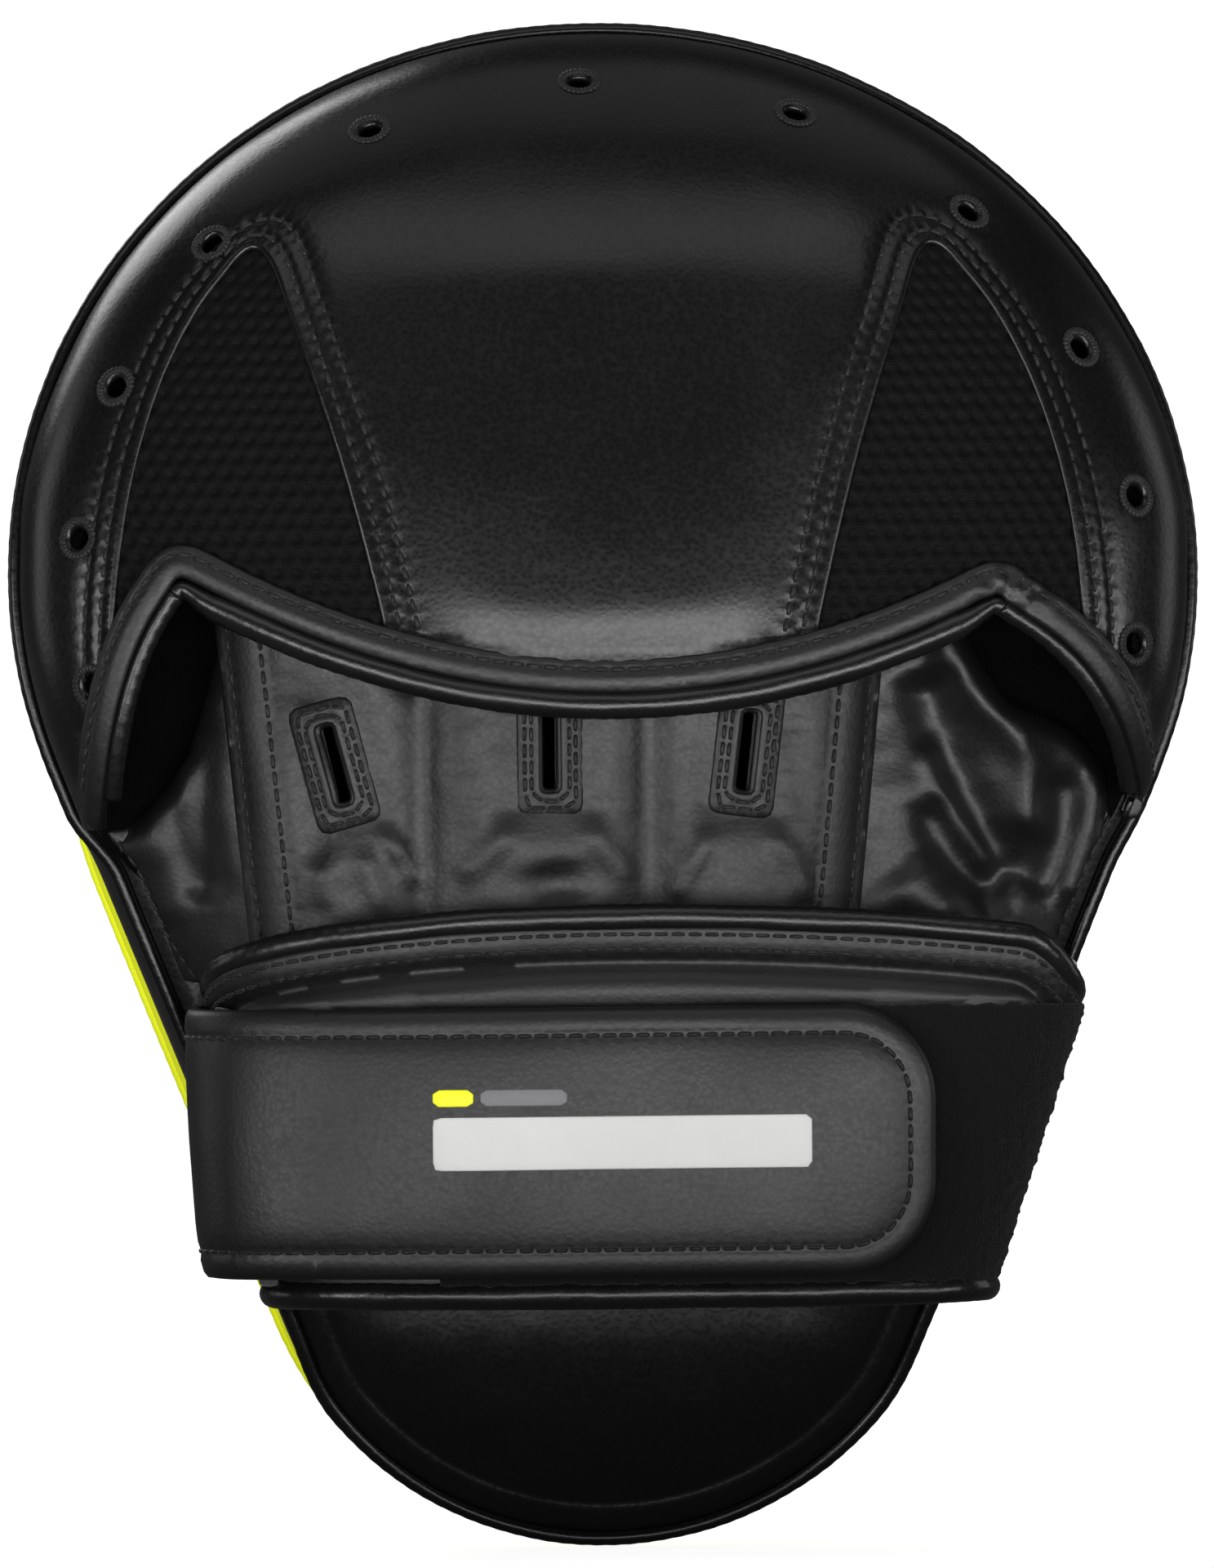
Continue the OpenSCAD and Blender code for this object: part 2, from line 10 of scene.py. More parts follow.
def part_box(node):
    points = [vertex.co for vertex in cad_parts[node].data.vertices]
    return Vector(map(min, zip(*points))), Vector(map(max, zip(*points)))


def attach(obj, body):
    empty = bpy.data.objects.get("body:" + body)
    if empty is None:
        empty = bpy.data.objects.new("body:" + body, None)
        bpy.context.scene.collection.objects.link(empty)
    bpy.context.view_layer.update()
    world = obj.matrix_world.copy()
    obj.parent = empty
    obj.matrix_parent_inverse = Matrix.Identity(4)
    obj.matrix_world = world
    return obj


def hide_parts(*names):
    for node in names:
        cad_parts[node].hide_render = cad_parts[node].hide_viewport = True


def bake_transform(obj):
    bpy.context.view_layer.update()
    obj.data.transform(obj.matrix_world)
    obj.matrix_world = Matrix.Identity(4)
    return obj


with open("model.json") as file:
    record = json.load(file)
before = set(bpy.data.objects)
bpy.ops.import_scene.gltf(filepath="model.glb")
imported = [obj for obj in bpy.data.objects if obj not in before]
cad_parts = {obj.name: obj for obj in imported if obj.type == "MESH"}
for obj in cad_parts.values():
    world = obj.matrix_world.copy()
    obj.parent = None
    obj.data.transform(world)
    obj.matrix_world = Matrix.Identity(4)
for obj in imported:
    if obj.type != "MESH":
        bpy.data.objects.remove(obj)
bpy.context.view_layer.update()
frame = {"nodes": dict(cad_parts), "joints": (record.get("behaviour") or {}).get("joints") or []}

# The looks of a curved focus mitt for a left hand. Shapes are worked out in millimetres and turned
# into metres when a mesh is made. Most panels are drawn flat, on the two coordinates of a surface,
# triangulated there, and then laid on that surface.

MM = 0.001
SEED = 7
rng = np.random.default_rng(SEED)

# ---------- Dimensions, from the CAD frame where it states them ----------


def extent(node):
    low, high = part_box(node)
    return np.array(low) / MM, np.array(high) / MM


_, face_high = extent("striking_face")
palm_low, _ = extent("palm_panel")
tab_low, tab_high = extent("strap_tab")
cuff_low_corner, cuff_high_corner = extent("cuff_shell")
glove_low_corner, glove_high_corner = extent("knuckle_panel")

LEATHER = 1.6
LINING = 0.8
FOAM_PLY = 3.0
GAP = 0.25
CROWN_ACROSS = face_high[0]
PAD_TOP = face_high[2]
PAD_BACK = palm_low[1]
CROWN_UP = 0.72 * PAD_TOP
CROWN_Z = PAD_TOP - CROWN_UP
HEEL_RADIUS = 56.0
HEEL_Z = HEEL_RADIUS - PAD_TOP
BEND_RADIUS = 310.0
EDGE_SEAM = 5.0
BAND_SECTION = (-1.0, -10.9, 1.1)
WALL_SECTION = (-11.3, -28.1, 1.5)
WALL_TOP = -11.0
CORE_LAYER = (-9.3, -19.9)
BACK_LAYER = (-20.3, -27.6)
LAYER_INSET = 2.6
CORD_RADIUS = 1.2
FACE_FILL = 1.6
FACE_EDGE_DROP = 1.3
HEEL_FILL = 2.6

HOOD_HEIGHT = 32.0
HOOD_SHOULDER_Z = 80.0
HOOD_LOW_Z = -6.0
HOOD_TOP_Z = PAD_TOP - 0.05
HOOD_POWER = 2.5
HEM_LEVEL = 15.0
HEM_CURVE = 0.0041
HEM_LEFT = (-71.5, HEM_LEVEL + 17)
HEM_RIGHT = (64.0, HEM_LEVEL + 13.5)
LEFT_FOOT = (-82.5, HOOD_LOW_Z)
RIGHT_FOOT = (86.5, HOOD_LOW_Z)
LEFT_BEND = (-81.0, 20.0)
RIGHT_BEND = (84.0, 18.0)
LEAF_SHIFT = -2.0

GLOVE_TOP_Z = glove_high_corner[2]
GLOVE_LOW_Z = glove_low_corner[2]
GLOVE_X = (glove_low_corner[0] + glove_high_corner[0]) / 2
GLOVE_HALF = (glove_high_corner[0] - glove_low_corner[0]) / 2
GLOVE_HEIGHT = 22.5
KNUCKLE_FILL = 3.1
CREASES = (-31.0, 5.8)
SLOTS = ((-45.0, 3.5, -15.0), (-10.3, 5.5, 0.0), (21.6, 5.0, 7.0))
SLOT_SIZE = (3.8, 14.0)
FRAME_SIZE = (10.2, 20.5)

CUFF_TOP = 64.0
CUFF_LOW = cuff_low_corner[2]
CUFF_HIGH = cuff_high_corner[2]
CUFF_MIDDLE_Z = -84.0
CUFF_DIP = 8.0
FASTENER = 1.2

STRAP_INNER = 2 * FASTENER + 0.5
STRAP_LEATHER = 3.0
STRAP_TOP = CUFF_TOP + STRAP_INNER + STRAP_LEATHER
STRAP_LOW = tab_low[2]
STRAP_HIGH = tab_high[2]
STRAP_LEVEL = (STRAP_LOW + STRAP_HIGH) / 2
STRAP_TIP_X = tab_high[0]
STRAP_LEFT = 72.0
STRAP_FOOT = PAD_BACK - 0.5
TIP_RADIUS = 14.0
hinge_x = {j["name"]: j["pos_m"][0] / MM for j in frame["joints"]}
ROOT_X = hinge_x["strap_swing"]
PEEL_X = hinge_x["strap_peel"]

STITCH_PITCH = 2.7
THREAD = 0.34
LINE_STEP = 0.35

# ---------- Surfaces ----------


def columns(*parts):
    """Coordinates side by side, as one array of points."""
    return np.stack(parts, -1)


def unit(vectors):
    return vectors / (np.linalg.norm(vectors, axis=1)[:, None] + 1e-12)


def run_lengths(points):
    """How far along its polyline each point lies."""
    return np.concatenate([[0], np.cumsum(np.linalg.norm(np.diff(points, axis=0), axis=1))])


def lean_angle():
    """The slope of the straight sides between the round crown and the round heel, found by iteration."""
    s = 0.4
    for _ in range(12):
        across = math.sqrt(CROWN_ACROSS ** 2 * (1 - s * s) + CROWN_UP ** 2 * s * s)
        s = (across - HEEL_RADIUS) / (CROWN_Z - HEEL_Z)
    return math.asin(s)


LEAN = lean_angle()


def rim(angle):
    """The pad outline's points whose outward normals are at these angles, in radians."""
    angle = np.asarray(angle, float)
    c, s = np.cos(angle), np.sin(angle)
    reach = np.sqrt((CROWN_ACROSS * c) ** 2 + (CROWN_UP * s) ** 2)
    crown = (angle >= -LEAN) & (angle <= math.pi + LEAN)
    x = np.where(crown, CROWN_ACROSS ** 2 * c / reach, HEEL_RADIUS * c)
    z = np.where(crown, CROWN_Z + CROWN_UP ** 2 * s / reach, HEEL_Z + HEEL_RADIUS * s)
    return columns(x, z)


def resample(points, step, closed=False):
    """Evenly spaced points along a polyline."""
    points = np.asarray(points, float)
    if closed:
        points = np.vstack([points, points[:1]])
    at = run_lengths(points)
    count = max(2, int(round(at[-1] / step)))
    t = np.linspace(0, at[-1], count + 1)
    if closed:
        t = t[:-1]
    return np.stack([np.interp(t, at, points[:, k]) for k in range(points.shape[1])], -1)


def directions(points, closed):
    """Unit vectors along a polyline."""
    return unit(np.roll(points, -1, 0) - np.roll(points, 1, 0) if closed else np.gradient(points, axis=0))


def side_normals(points, closed=False):
    """Unit vectors to the right of a 2D polyline's run."""
    run = directions(points, closed)
    return columns(run[:, 1], -run[:, 0])


def shifted(points, distance, closed=False):
    return points + distance * side_normals(points, closed)


def outline(count):
    """count even points round the pad, anticlockwise seen from the back, with outward normals."""
    crown = np.linspace(-LEAN, math.pi + LEAN, 400)
    heel = np.linspace(math.pi + LEAN + 1e-6, 2 * math.pi - LEAN - 1e-6, 300)
    points = resample(rim(np.concatenate([crown, heel])), 0.5, closed=True)
    at = np.linspace(0, len(points), count, endpoint=False)
    index = np.arange(len(points) + 1)
    loop = np.vstack([points, points[:1]])
    points = np.stack([np.interp(at, index, loop[:, k]) for k in (0, 1)], -1)
    return points, side_normals(points, True)


crown_tangent = rim(-LEAN)
heel_tangent = rim(-LEAN - 1e-6)


def half_width(z):
    """Half the pad's width at these heights."""
    z = np.asarray(z, float)
    crown = CROWN_ACROSS * np.sqrt(np.clip(1 - ((z - CROWN_Z) / CROWN_UP) ** 2, 0, 1))
    heel = np.sqrt(np.clip(HEEL_RADIUS ** 2 - (z - HEEL_Z) ** 2, 0, None))
    t = (z - heel_tangent[1]) / (crown_tangent[1] - heel_tangent[1])
    line = heel_tangent[0] + (crown_tangent[0] - heel_tangent[0]) * t
    return np.where(z > crown_tangent[1], crown, np.where(z < heel_tangent[1], heel, line))


PULLED_LEFT = 3.0
PULLED_RIGHT = 1.2


def drawn_in(side, z):
    """How far the leather behind the yellow band is pulled in from the outline, below the hood."""
    z = np.asarray(z, float)
    left = PULLED_LEFT - PULLED_LEFT / 2 * smooth((-66 - z) / 16)
    share = np.where(np.asarray(side) < 0, left, PULLED_RIGHT)
    return share * smooth((-3 - z) / 12) * smooth((z + 102) / 14)


def smooth(t):
    t = np.clip(t, 0, 1)
    return t * t * (3 - 2 * t)


def sag(z):
    return BEND_RADIUS - np.sqrt(BEND_RADIUS ** 2 - np.asarray(z, float) ** 2)


def bent(flat, y):
    """Points over x and z, at these depths from the pad's bent face."""
    return columns(flat[:, 0], y + sag(flat[:, 1]), flat[:, 1])


def pad_edge(count):
    """The pad's outline, its outward normals and how far the leather is drawn in there."""
    points, normals = outline(count)
    return points, normals, drawn_in(points[:, 0], points[:, 1])[:, None]


def arch(x, half, power):
    return (1 - np.clip(np.abs(x) / half, 0, 1) ** power) ** (1 / power)


def bump(distance, width):
    return np.exp(-(distance / width) ** 2)


def hood_rise(z):
    """The hood's height above the pad's back, which falls to nothing at the rim."""
    t = np.clip((z - HOOD_SHOULDER_Z) / (PAD_TOP - HOOD_SHOULDER_Z), 0, 1)
    return HOOD_HEIGHT * np.sqrt(1 - t * t)


def hood_base(z):
    slope = np.clip(z, 0, None) / np.sqrt(BEND_RADIUS ** 2 - z ** 2)
    return PAD_BACK + sag(z) - GAP - LEATHER * slope


# Arc-length tables turn the hood's two flat coordinates into millimetres along its surface.
section_t = np.linspace(0, math.pi, 4001)
section_x = -np.sign(np.cos(section_t)) * np.abs(np.cos(section_t)) ** (2 / HOOD_POWER)
section_y = np.abs(np.sin(section_t)) ** (2 / HOOD_POWER)
section_run = np.hypot(np.diff(section_x) * CROWN_ACROSS, np.diff(section_y) * HOOD_HEIGHT)
section_a = np.concatenate([[0], np.cumsum(section_run)])
HOOD_ACROSS = section_a[-1]
profile_t = np.linspace(0, 1, 4001)
profile_z = HOOD_LOW_Z + (HOOD_TOP_Z - HOOD_LOW_Z) * np.sin(profile_t * math.pi / 2)
profile_run = np.hypot(np.diff(profile_z), np.diff(hood_base(profile_z) - hood_rise(profile_z)))
profile_b = np.concatenate([[0], np.cumsum(profile_run)])
HOOD_UP = profile_b[-1]


def hood(a, b):
    """A point of the hood's outer side, a across it and b upwards."""
    z = np.interp(b, profile_b, profile_z)
    x = half_width(z) * np.interp(a, section_a, section_x)
    y = hood_base(z) - hood_rise(z) * np.interp(a, section_a, section_y)
    return columns(x, y, z)


def hood_flat(points):
    """The hood's flat coordinates of points given as x and z."""
    points = np.asarray(points, float)
    z = np.clip(points[:, 1], HOOD_LOW_Z, HOOD_TOP_Z)
    share = np.clip(points[:, 0] / half_width(z), -1, 1)
    return columns(np.interp(share, section_x, section_a), np.interp(z, profile_z, profile_b))


def glove_half(z):
    return GLOVE_HALF + (z - GLOVE_TOP_Z) * 0.1


def glove(x, z):
    """The knuckle panel's surface: three soft pads with creases between them."""
    edges = [GLOVE_X - GLOVE_HALF, *CREASES, GLOVE_X + GLOVE_HALF]
    pad = np.zeros_like(x)
    for low, high in zip(edges, edges[1:]):
        t = np.clip((x - low) / (high - low), 0, 1)
        pad += KNUCKLE_FILL * np.sin(math.pi * t) ** 0.9
    rise = GLOVE_HEIGHT - 0.2 + (z - 5) * 0.04
    y = PAD_BACK + sag(z) - rise * arch(x - GLOVE_X, 1.12 * glove_half(z), 2.6) - pad
    return columns(x, y, z)


def cuff_half(side, z):
    """The cuff's half width: it widens upwards, most of all on the thumb's side."""
    return np.where(side < 0, 63 + 0.08 * (z - CUFF_MIDDLE_Z), 62 + 0.32 * (z - CUFF_MIDDLE_Z))


def cuff_section(angle, z):
    """A point of the cuff. angle runs from 0 at the little-finger side's foot to pi at the thumb's."""
    c, s = -np.cos(angle), np.abs(np.sin(angle))
    p = np.where(c < 0, 2 / 3, 2 / 5)
    foot_y = PAD_BACK + sag(z) - 0.3
    half = cuff_half(c, z)
    h = s ** p
    foot_x = half_width(z) - np.where(c < 0, 9, 4)
    turn_in = np.clip(half - foot_x, 0, None) * np.clip(1 - h, 0, 1) ** 2
    x = half * np.sign(c) * np.abs(c) ** p - np.sign(c) * turn_in
    return columns(x, foot_y + (-CUFF_TOP - foot_y) * h, z)


cuff_t = np.linspace(0, math.pi, 4001)
cuff_line = cuff_section(cuff_t, np.full_like(cuff_t, -45.0))
cuff_a = run_lengths(cuff_line)
CUFF_ACROSS = cuff_a[-1]


def cuff_crest(angle):
    """The height of the cuff's upper edge, which dips at both sides and droops at the thumb's."""
    c, s = -np.cos(angle), np.abs(np.sin(angle))
    p = np.where(c < 0, 2 / 3, 2 / 5)
    x = 67 * np.sign(c) * np.abs(c) ** p
    droop = 6.0 * smooth((x - 54) / 13)
    return CUFF_HIGH - 0.0012 * x ** 2 - CUFF_DIP * np.clip(1 - s ** p, 0, 1) ** 1.5 - droop


def cuff(a, z):
    return cuff_section(np.interp(a, cuff_a, cuff_t), z)


def cuff_y(x, z):
    foot_y = PAD_BACK + sag(z) - 0.3
    power = np.where(x < 0, 3, 5)
    return foot_y + (-CUFF_TOP - foot_y) * arch(x, cuff_half(x, z), power)


def strap_y(x, z):
    left = STRAP_FOOT + (-STRAP_TOP - STRAP_FOOT) * arch(x, STRAP_LEFT, 3)
    return np.where(x < 0, left, cuff_y(x, z) - STRAP_INNER - STRAP_LEATHER)


# The strap's flat coordinate runs from its foot on the pad, round the fold and along its face.
anchor_turn = (-(ROOT_X - 0.3) / STRAP_LEFT) ** 1.5
anchor_rise = math.sqrt(1 - anchor_turn ** 2) ** (2 / 3)
anchor_t = np.linspace(0, math.acos(anchor_turn), 400)
STRAP_FACE_X = np.linspace(ROOT_X - 0.3, STRAP_TIP_X + 2, 1200)[1:]


def anchor(t, z):
    """The strap's part from its foot on the pad to the fold. t runs from 0 at the foot."""
    h = np.sin(t) ** (2 / 3)
    foot_y = PAD_BACK + sag(z) - 0.3
    foot_x = half_width(z) - 3 - drawn_in(-1, z)
    turn_in = np.clip(STRAP_LEFT - foot_x, 0, None) * (1 - h / anchor_rise) ** 2
    x = -STRAP_LEFT * np.cos(t) ** (2 / 3) + turn_in
    y = STRAP_FOOT + (-STRAP_TOP - STRAP_FOOT) * h + (foot_y - STRAP_FOOT) * (1 - h / anchor_rise)
    return columns(x, y, z)


anchor_line = anchor(anchor_t, np.full_like(anchor_t, STRAP_LEVEL))
face_z = np.full_like(STRAP_FACE_X, STRAP_LEVEL)
face_line = columns(STRAP_FACE_X, strap_y(STRAP_FACE_X, face_z), face_z)
strap_line = np.vstack([anchor_line, face_line])
strap_s = run_lengths(strap_line)


def strap_place(x):
    """The strap's flat coordinate of a place on its face."""
    return np.interp(x, STRAP_FACE_X, strap_s[len(anchor_t):])


ANCHOR_END = strap_s[len(anchor_t) - 1]


def strap(s, z):
    """A point of the strap's outer side, s along it from its foot."""
    t = np.interp(s, strap_s[:len(anchor_t)], anchor_t)
    x = np.interp(s, strap_s[len(anchor_t):], STRAP_FACE_X)
    face = columns(x, strap_y(x, z), z)
    return np.where((s <= ANCHOR_END)[:, None], anchor(t, z), face)


def normals_of(surface, a, b, step=0.4):
    across = surface(a + step, b) - surface(a - step, b)
    along = surface(a, b + step) - surface(a, b - step)
    return unit(np.cross(across, along))


# ---------- Noise without a library, the same on every run ----------


def wave_noise(points, size, seed, octaves=3):
    """Smooth noise from -1 to 1 made of random plane waves. size is the largest feature, in mm."""
    local = np.random.default_rng(seed)
    total = np.zeros(len(points))
    weight = 1.0
    for octave in range(octaves):
        for _ in range(5):
            direction = local.normal(size=points.shape[1])
            direction /= np.linalg.norm(direction)
            pitch = 2 * math.pi / (size / 2 ** octave * local.uniform(0.7, 1.4))
            total += weight * np.sin(points @ direction * pitch + local.uniform(0, 2 * math.pi)) / 5
        weight *= 0.5
    return total


# ---------- Flat drawing and meshing ----------


def inside(points, loops):
    """Even-odd test of points against closed loops."""
    hit = np.zeros(len(points), bool)
    for loop in loops:
        p, q = loop, np.roll(loop, -1, 0)
        for (x0, y0), (x1, y1) in zip(p, q):
            if y0 == y1:
                continue
            crossing = (points[:, 1] > min(y0, y1)) & (points[:, 1] <= max(y0, y1))
            x = x0 + (points[:, 1] - y0) * (x1 - x0) / (y1 - y0)
            hit ^= crossing & (points[:, 0] < x)
    return hit


def tree_of(points):
    tree = kdtree.KDTree(len(points))
    for k, p in enumerate(points):
        tree.insert((p[0], p[1], p[2] if len(p) > 2 else 0.0), k)
    tree.balance()
    return tree


def nearest(points, tree):
    """Distance to the nearest point in the tree, and that point's index."""
    found = [tree.find((p[0], p[1], p[2] if len(p) > 2 else 0.0)) for p in points]
    return np.array([f[2] for f in found]), np.array([f[1] for f in found])


def gap_to(points, line, step, closed=False):
    """How far points are from a polyline."""
    return nearest(points, tree_of(resample(line, step, closed)))[0]


def triangulate(loops, rows=(), spacing=1.6, edge_step=1.1):
    """Triangles that fill the first loop less the others, with extra points along rows."""
    loops = [resample(loop, edge_step, closed=True) for loop in loops]
    edge = np.vstack(loops)
    extra = [r[inside(r, loops)] for r in rows]
    extra = [r for r in extra if len(r)]
    if extra:
        rows_points = np.vstack(extra)
        far, _ = nearest(rows_points, tree_of(edge))
        rows_points = rows_points[far > 0.45]
        rows_points = thinned(rows_points, 0.45)
    else:
        rows_points = np.zeros((0, 2))
    low, high = edge.min(0), edge.max(0)
    ys = np.arange(low[1], high[1], spacing * math.sqrt(0.75))
    lines = []
    for k, y in enumerate(ys):
        xs = np.arange(low[0] + (k % 2) * spacing / 2, high[0], spacing)
        lines.append(columns(xs, np.full(len(xs), y)))
    grid = np.vstack(lines)
    grid = grid[inside(grid, loops)]
    fixed = np.vstack([edge, rows_points])
    far, _ = nearest(grid, tree_of(fixed))
    grid = grid[far > 0.62 * spacing]
    points = np.vstack([fixed, grid])
    links, start = [], 0
    for loop in loops:
        n = len(loop)
        links += [(start + k, start + (k + 1) % n) for k in range(n)]
        start += n
    found = geometry.delaunay_2d_cdt([Vector(p) for p in points], links, [], 0, 1e-5)
    flat = np.array([v[:] for v in found[0]])
    tris = np.array([f for f in found[2] if len(f) == 3])
    centre = flat[tris].mean(1)
    tris = tris[inside(centre, loops)]
    used = np.unique(tris)
    renumber = np.full(len(flat), -1)
    renumber[used] = np.arange(len(used))
    return flat[used], renumber[tris]


def thinned(points, least):
    """Drops points that crowd an earlier one."""
    cell = {}
    keep = []
    for k, (x, y) in enumerate(points):
        i, j = int(x // least), int(y // least)
        crowd = any((x - u) ** 2 + (y - v) ** 2 < least ** 2
                    for di in (-1, 0, 1) for dj in (-1, 0, 1) for u, v in cell.get((i + di, j + dj), ()))
        if not crowd:
            cell.setdefault((i, j), []).append((x, y))
            keep.append(k)
    return points[keep]


def border_of(tris):
    """Directed border edges of a triangle mesh."""
    edges = np.vstack([tris[:, [0, 1]], tris[:, [1, 2]], tris[:, [2, 0]]])
    seen = set(map(tuple, edges))
    return np.array([e for e in map(tuple, edges) if (e[1], e[0]) not in seen])


def vertex_normals(points, tris):
    face = np.cross(points[tris[:, 1]] - points[tris[:, 0]], points[tris[:, 2]] - points[tris[:, 0]])
    total = np.zeros_like(points)
    for k in range(3):
        np.add.at(total, tris[:, k], face)
    return unit(total)


def add_object(name, data):
    obj = bpy.data.objects.new(name, data)
    bpy.context.scene.collection.objects.link(obj)
    return obj


def make_object(name, points, faces, material, smooth_angle=None):
    """A mesh object from points in millimetres."""
    mesh = bpy.data.meshes.new(name)
    mesh.from_pydata((np.asarray(points) * MM).tolist(), [], [list(map(int, f)) for f in faces])
    mesh.validate()
    mesh.shade_smooth()
    if smooth_angle is not None:
        mesh.set_sharp_from_angle(angle=math.radians(smooth_angle))
    mesh.materials.append(material)
    return add_object(name, mesh)


def grid_faces(rows, across, wrap=False, start=0, flip=False):
    """Quads over rows of points, each row a closed ring. If wrap, the last row joins the first."""
    faces = []
    for i in range(rows if wrap else rows - 1):
        low, high = start + i * across, start + (i + 1) % rows * across
        for k in range(across):
            m = (k + 1) % across
            face = (low + k, high + k, high + m, low + m)
            faces.append((face[0], *face[:0:-1]) if flip else face)
    return faces


def thicken(points, tris, thickness, round_steps=4, flat_edge=None):
    """A closed solid: the sheet, its back, and half-round edges between them.
    flat_edge marks points whose edge stays square, for a joint with a neighbour."""
    normals = vertex_normals(points, tris)
    border = border_of(tris)
    count = len(points)
    radius = thickness / 2
    run = np.zeros_like(points)
    for i, j in border:
        if flat_edge is not None and flat_edge[i] and flat_edge[j]:
            continue
        d = points[j] - points[i]
        d = d / (np.linalg.norm(d) + 1e-12)
        run[i] += d
        run[j] += d
    rim_points = np.unique(border)
    n = normals[rim_points]
    out = unit(np.cross(unit(run[rim_points]), n))
    rings = [points, points - thickness * normals]
    ring_index = []
    at = 2 * count
    for k in range(1, round_steps):
        turn = math.pi * k / round_steps
        rings.append(points[rim_points] + radius * (out * math.sin(turn) + n * (math.cos(turn) - 1)))
        index = np.zeros(count, int)
        index[rim_points] = at + np.arange(len(rim_points))
        ring_index.append(index)
        at += len(rim_points)
    steps = [np.arange(count), *ring_index, np.arange(count) + count]
    faces = [tuple(t) for t in tris] + [tuple(t[::-1] + count) for t in tris]
    for i, j in border:
        for low, high in zip(steps, steps[1:]):
            faces.append((low[j], low[i], high[i], high[j]))
    return np.vstack(rings), faces


class Seam:
    """A stitched line on a panel, in the panel's flat coordinates."""

    def __init__(self, line, depth=0.35, width=1.0, closed=False):
        self.closed = closed
        self.line = resample(line, LINE_STEP, closed)
        self.depth = depth
        self.width = width

    def rows(self):
        return [shifted(self.line, d, self.closed) for d in (-1.5, -0.7, 0, 0.7, 1.5)]

    def groove(self, flat):
        distance, index = nearest(flat, tree_of(self.line))
        pucker = 0.8 + 0.2 * np.cos(2 * math.pi * index * LINE_STEP / STITCH_PITCH)
        return -self.depth * pucker * bump(distance, self.width)


def relax(points, tris, pinned, pressure, cap, bending, growth=0.0, frames=20):
    """Swells a sheet with Blender's cloth while its pinned points hold, and returns the new points."""
    scale = 0.02
    mesh = bpy.data.meshes.new("relaxing")
    mesh.from_pydata((points * scale).tolist(), [], tris.tolist())
    obj = add_object("relaxing", mesh)
    group = obj.vertex_groups.new(name="pinned")
    group.add([int(k) for k in np.nonzero(pinned)[0]], 1.0, "REPLACE")
    modifier = obj.modifiers.new("Cloth", "CLOTH")
    cloth = modifier.settings
    cloth.quality = 6
    cloth.mass = 0.2
    cloth.tension_stiffness = 20
    cloth.compression_stiffness = 20
    cloth.shear_stiffness = 8
    cloth.bending_stiffness = bending
    cloth.air_damping = 2
    cloth.vertex_group_mass = "pinned"
    cloth.use_pressure = True
    cloth.uniform_pressure_force = pressure
    cloth.shrink_min = -growth
    cloth.effector_weights.gravity = 0
    modifier.collision_settings.use_collision = False
    scene = bpy.context.scene
    for f in range(1, frames + 1):
        scene.frame_set(f)
    shape = obj.evaluated_get(bpy.context.evaluated_depsgraph_get()).to_mesh()
    moved = np.empty(len(points) * 3)
    shape.vertices.foreach_get("co", moved)
    moved = moved.reshape(-1, 3) / scale
    bpy.data.objects.remove(obj)
    bpy.data.meshes.remove(mesh)
    scene.frame_set(1)
    step = moved - points
    size = np.linalg.norm(step, axis=1)[:, None] + 1e-9
    return points + step * np.minimum(1, cap / size)


class Panel:
    """A sewn panel: a flat drawing laid on a surface, shaped, thickened and stitched."""

    def __init__(self, name, surface, loops, seams=(), spacing=1.6, thickness=LEATHER, depth=0.0, guides=()):
        self.name = name
        self.surface = surface
        self.seams = list(seams)
        rows = [r for s in self.seams for r in s.rows()] + list(guides)
        self.flat, self.tris = triangulate(loops, rows, spacing)
        self.thickness = thickness
        base = surface(self.flat[:, 0], self.flat[:, 1])
        self.normals = normals_of(surface, self.flat[:, 0], self.flat[:, 1])
        self.points = base - depth * self.normals
        face = np.cross(self.points[self.tris[:, 1]] - self.points[self.tris[:, 0]],
                        self.points[self.tris[:, 2]] - self.points[self.tris[:, 0]])
        if (face * self.normals[self.tris[:, 0]]).sum() < 0:
            self.tris = self.tris[:, ::-1]

    def raise_by(self, height):
        self.points = self.points + height[:, None] * self.normals

    def sew(self):
        for seam in self.seams:
            self.raise_by(seam.groove(self.flat))

    def build(self, material, flat_edge=None):
        points, faces = thicken(self.points, self.tris, self.thickness, flat_edge=flat_edge)
        return make_object(self.name, points, faces, material, smooth_angle=55)

    def tree(self):
        return BVHTree.FromPolygons([Vector(p) for p in self.points], self.tris.tolist())


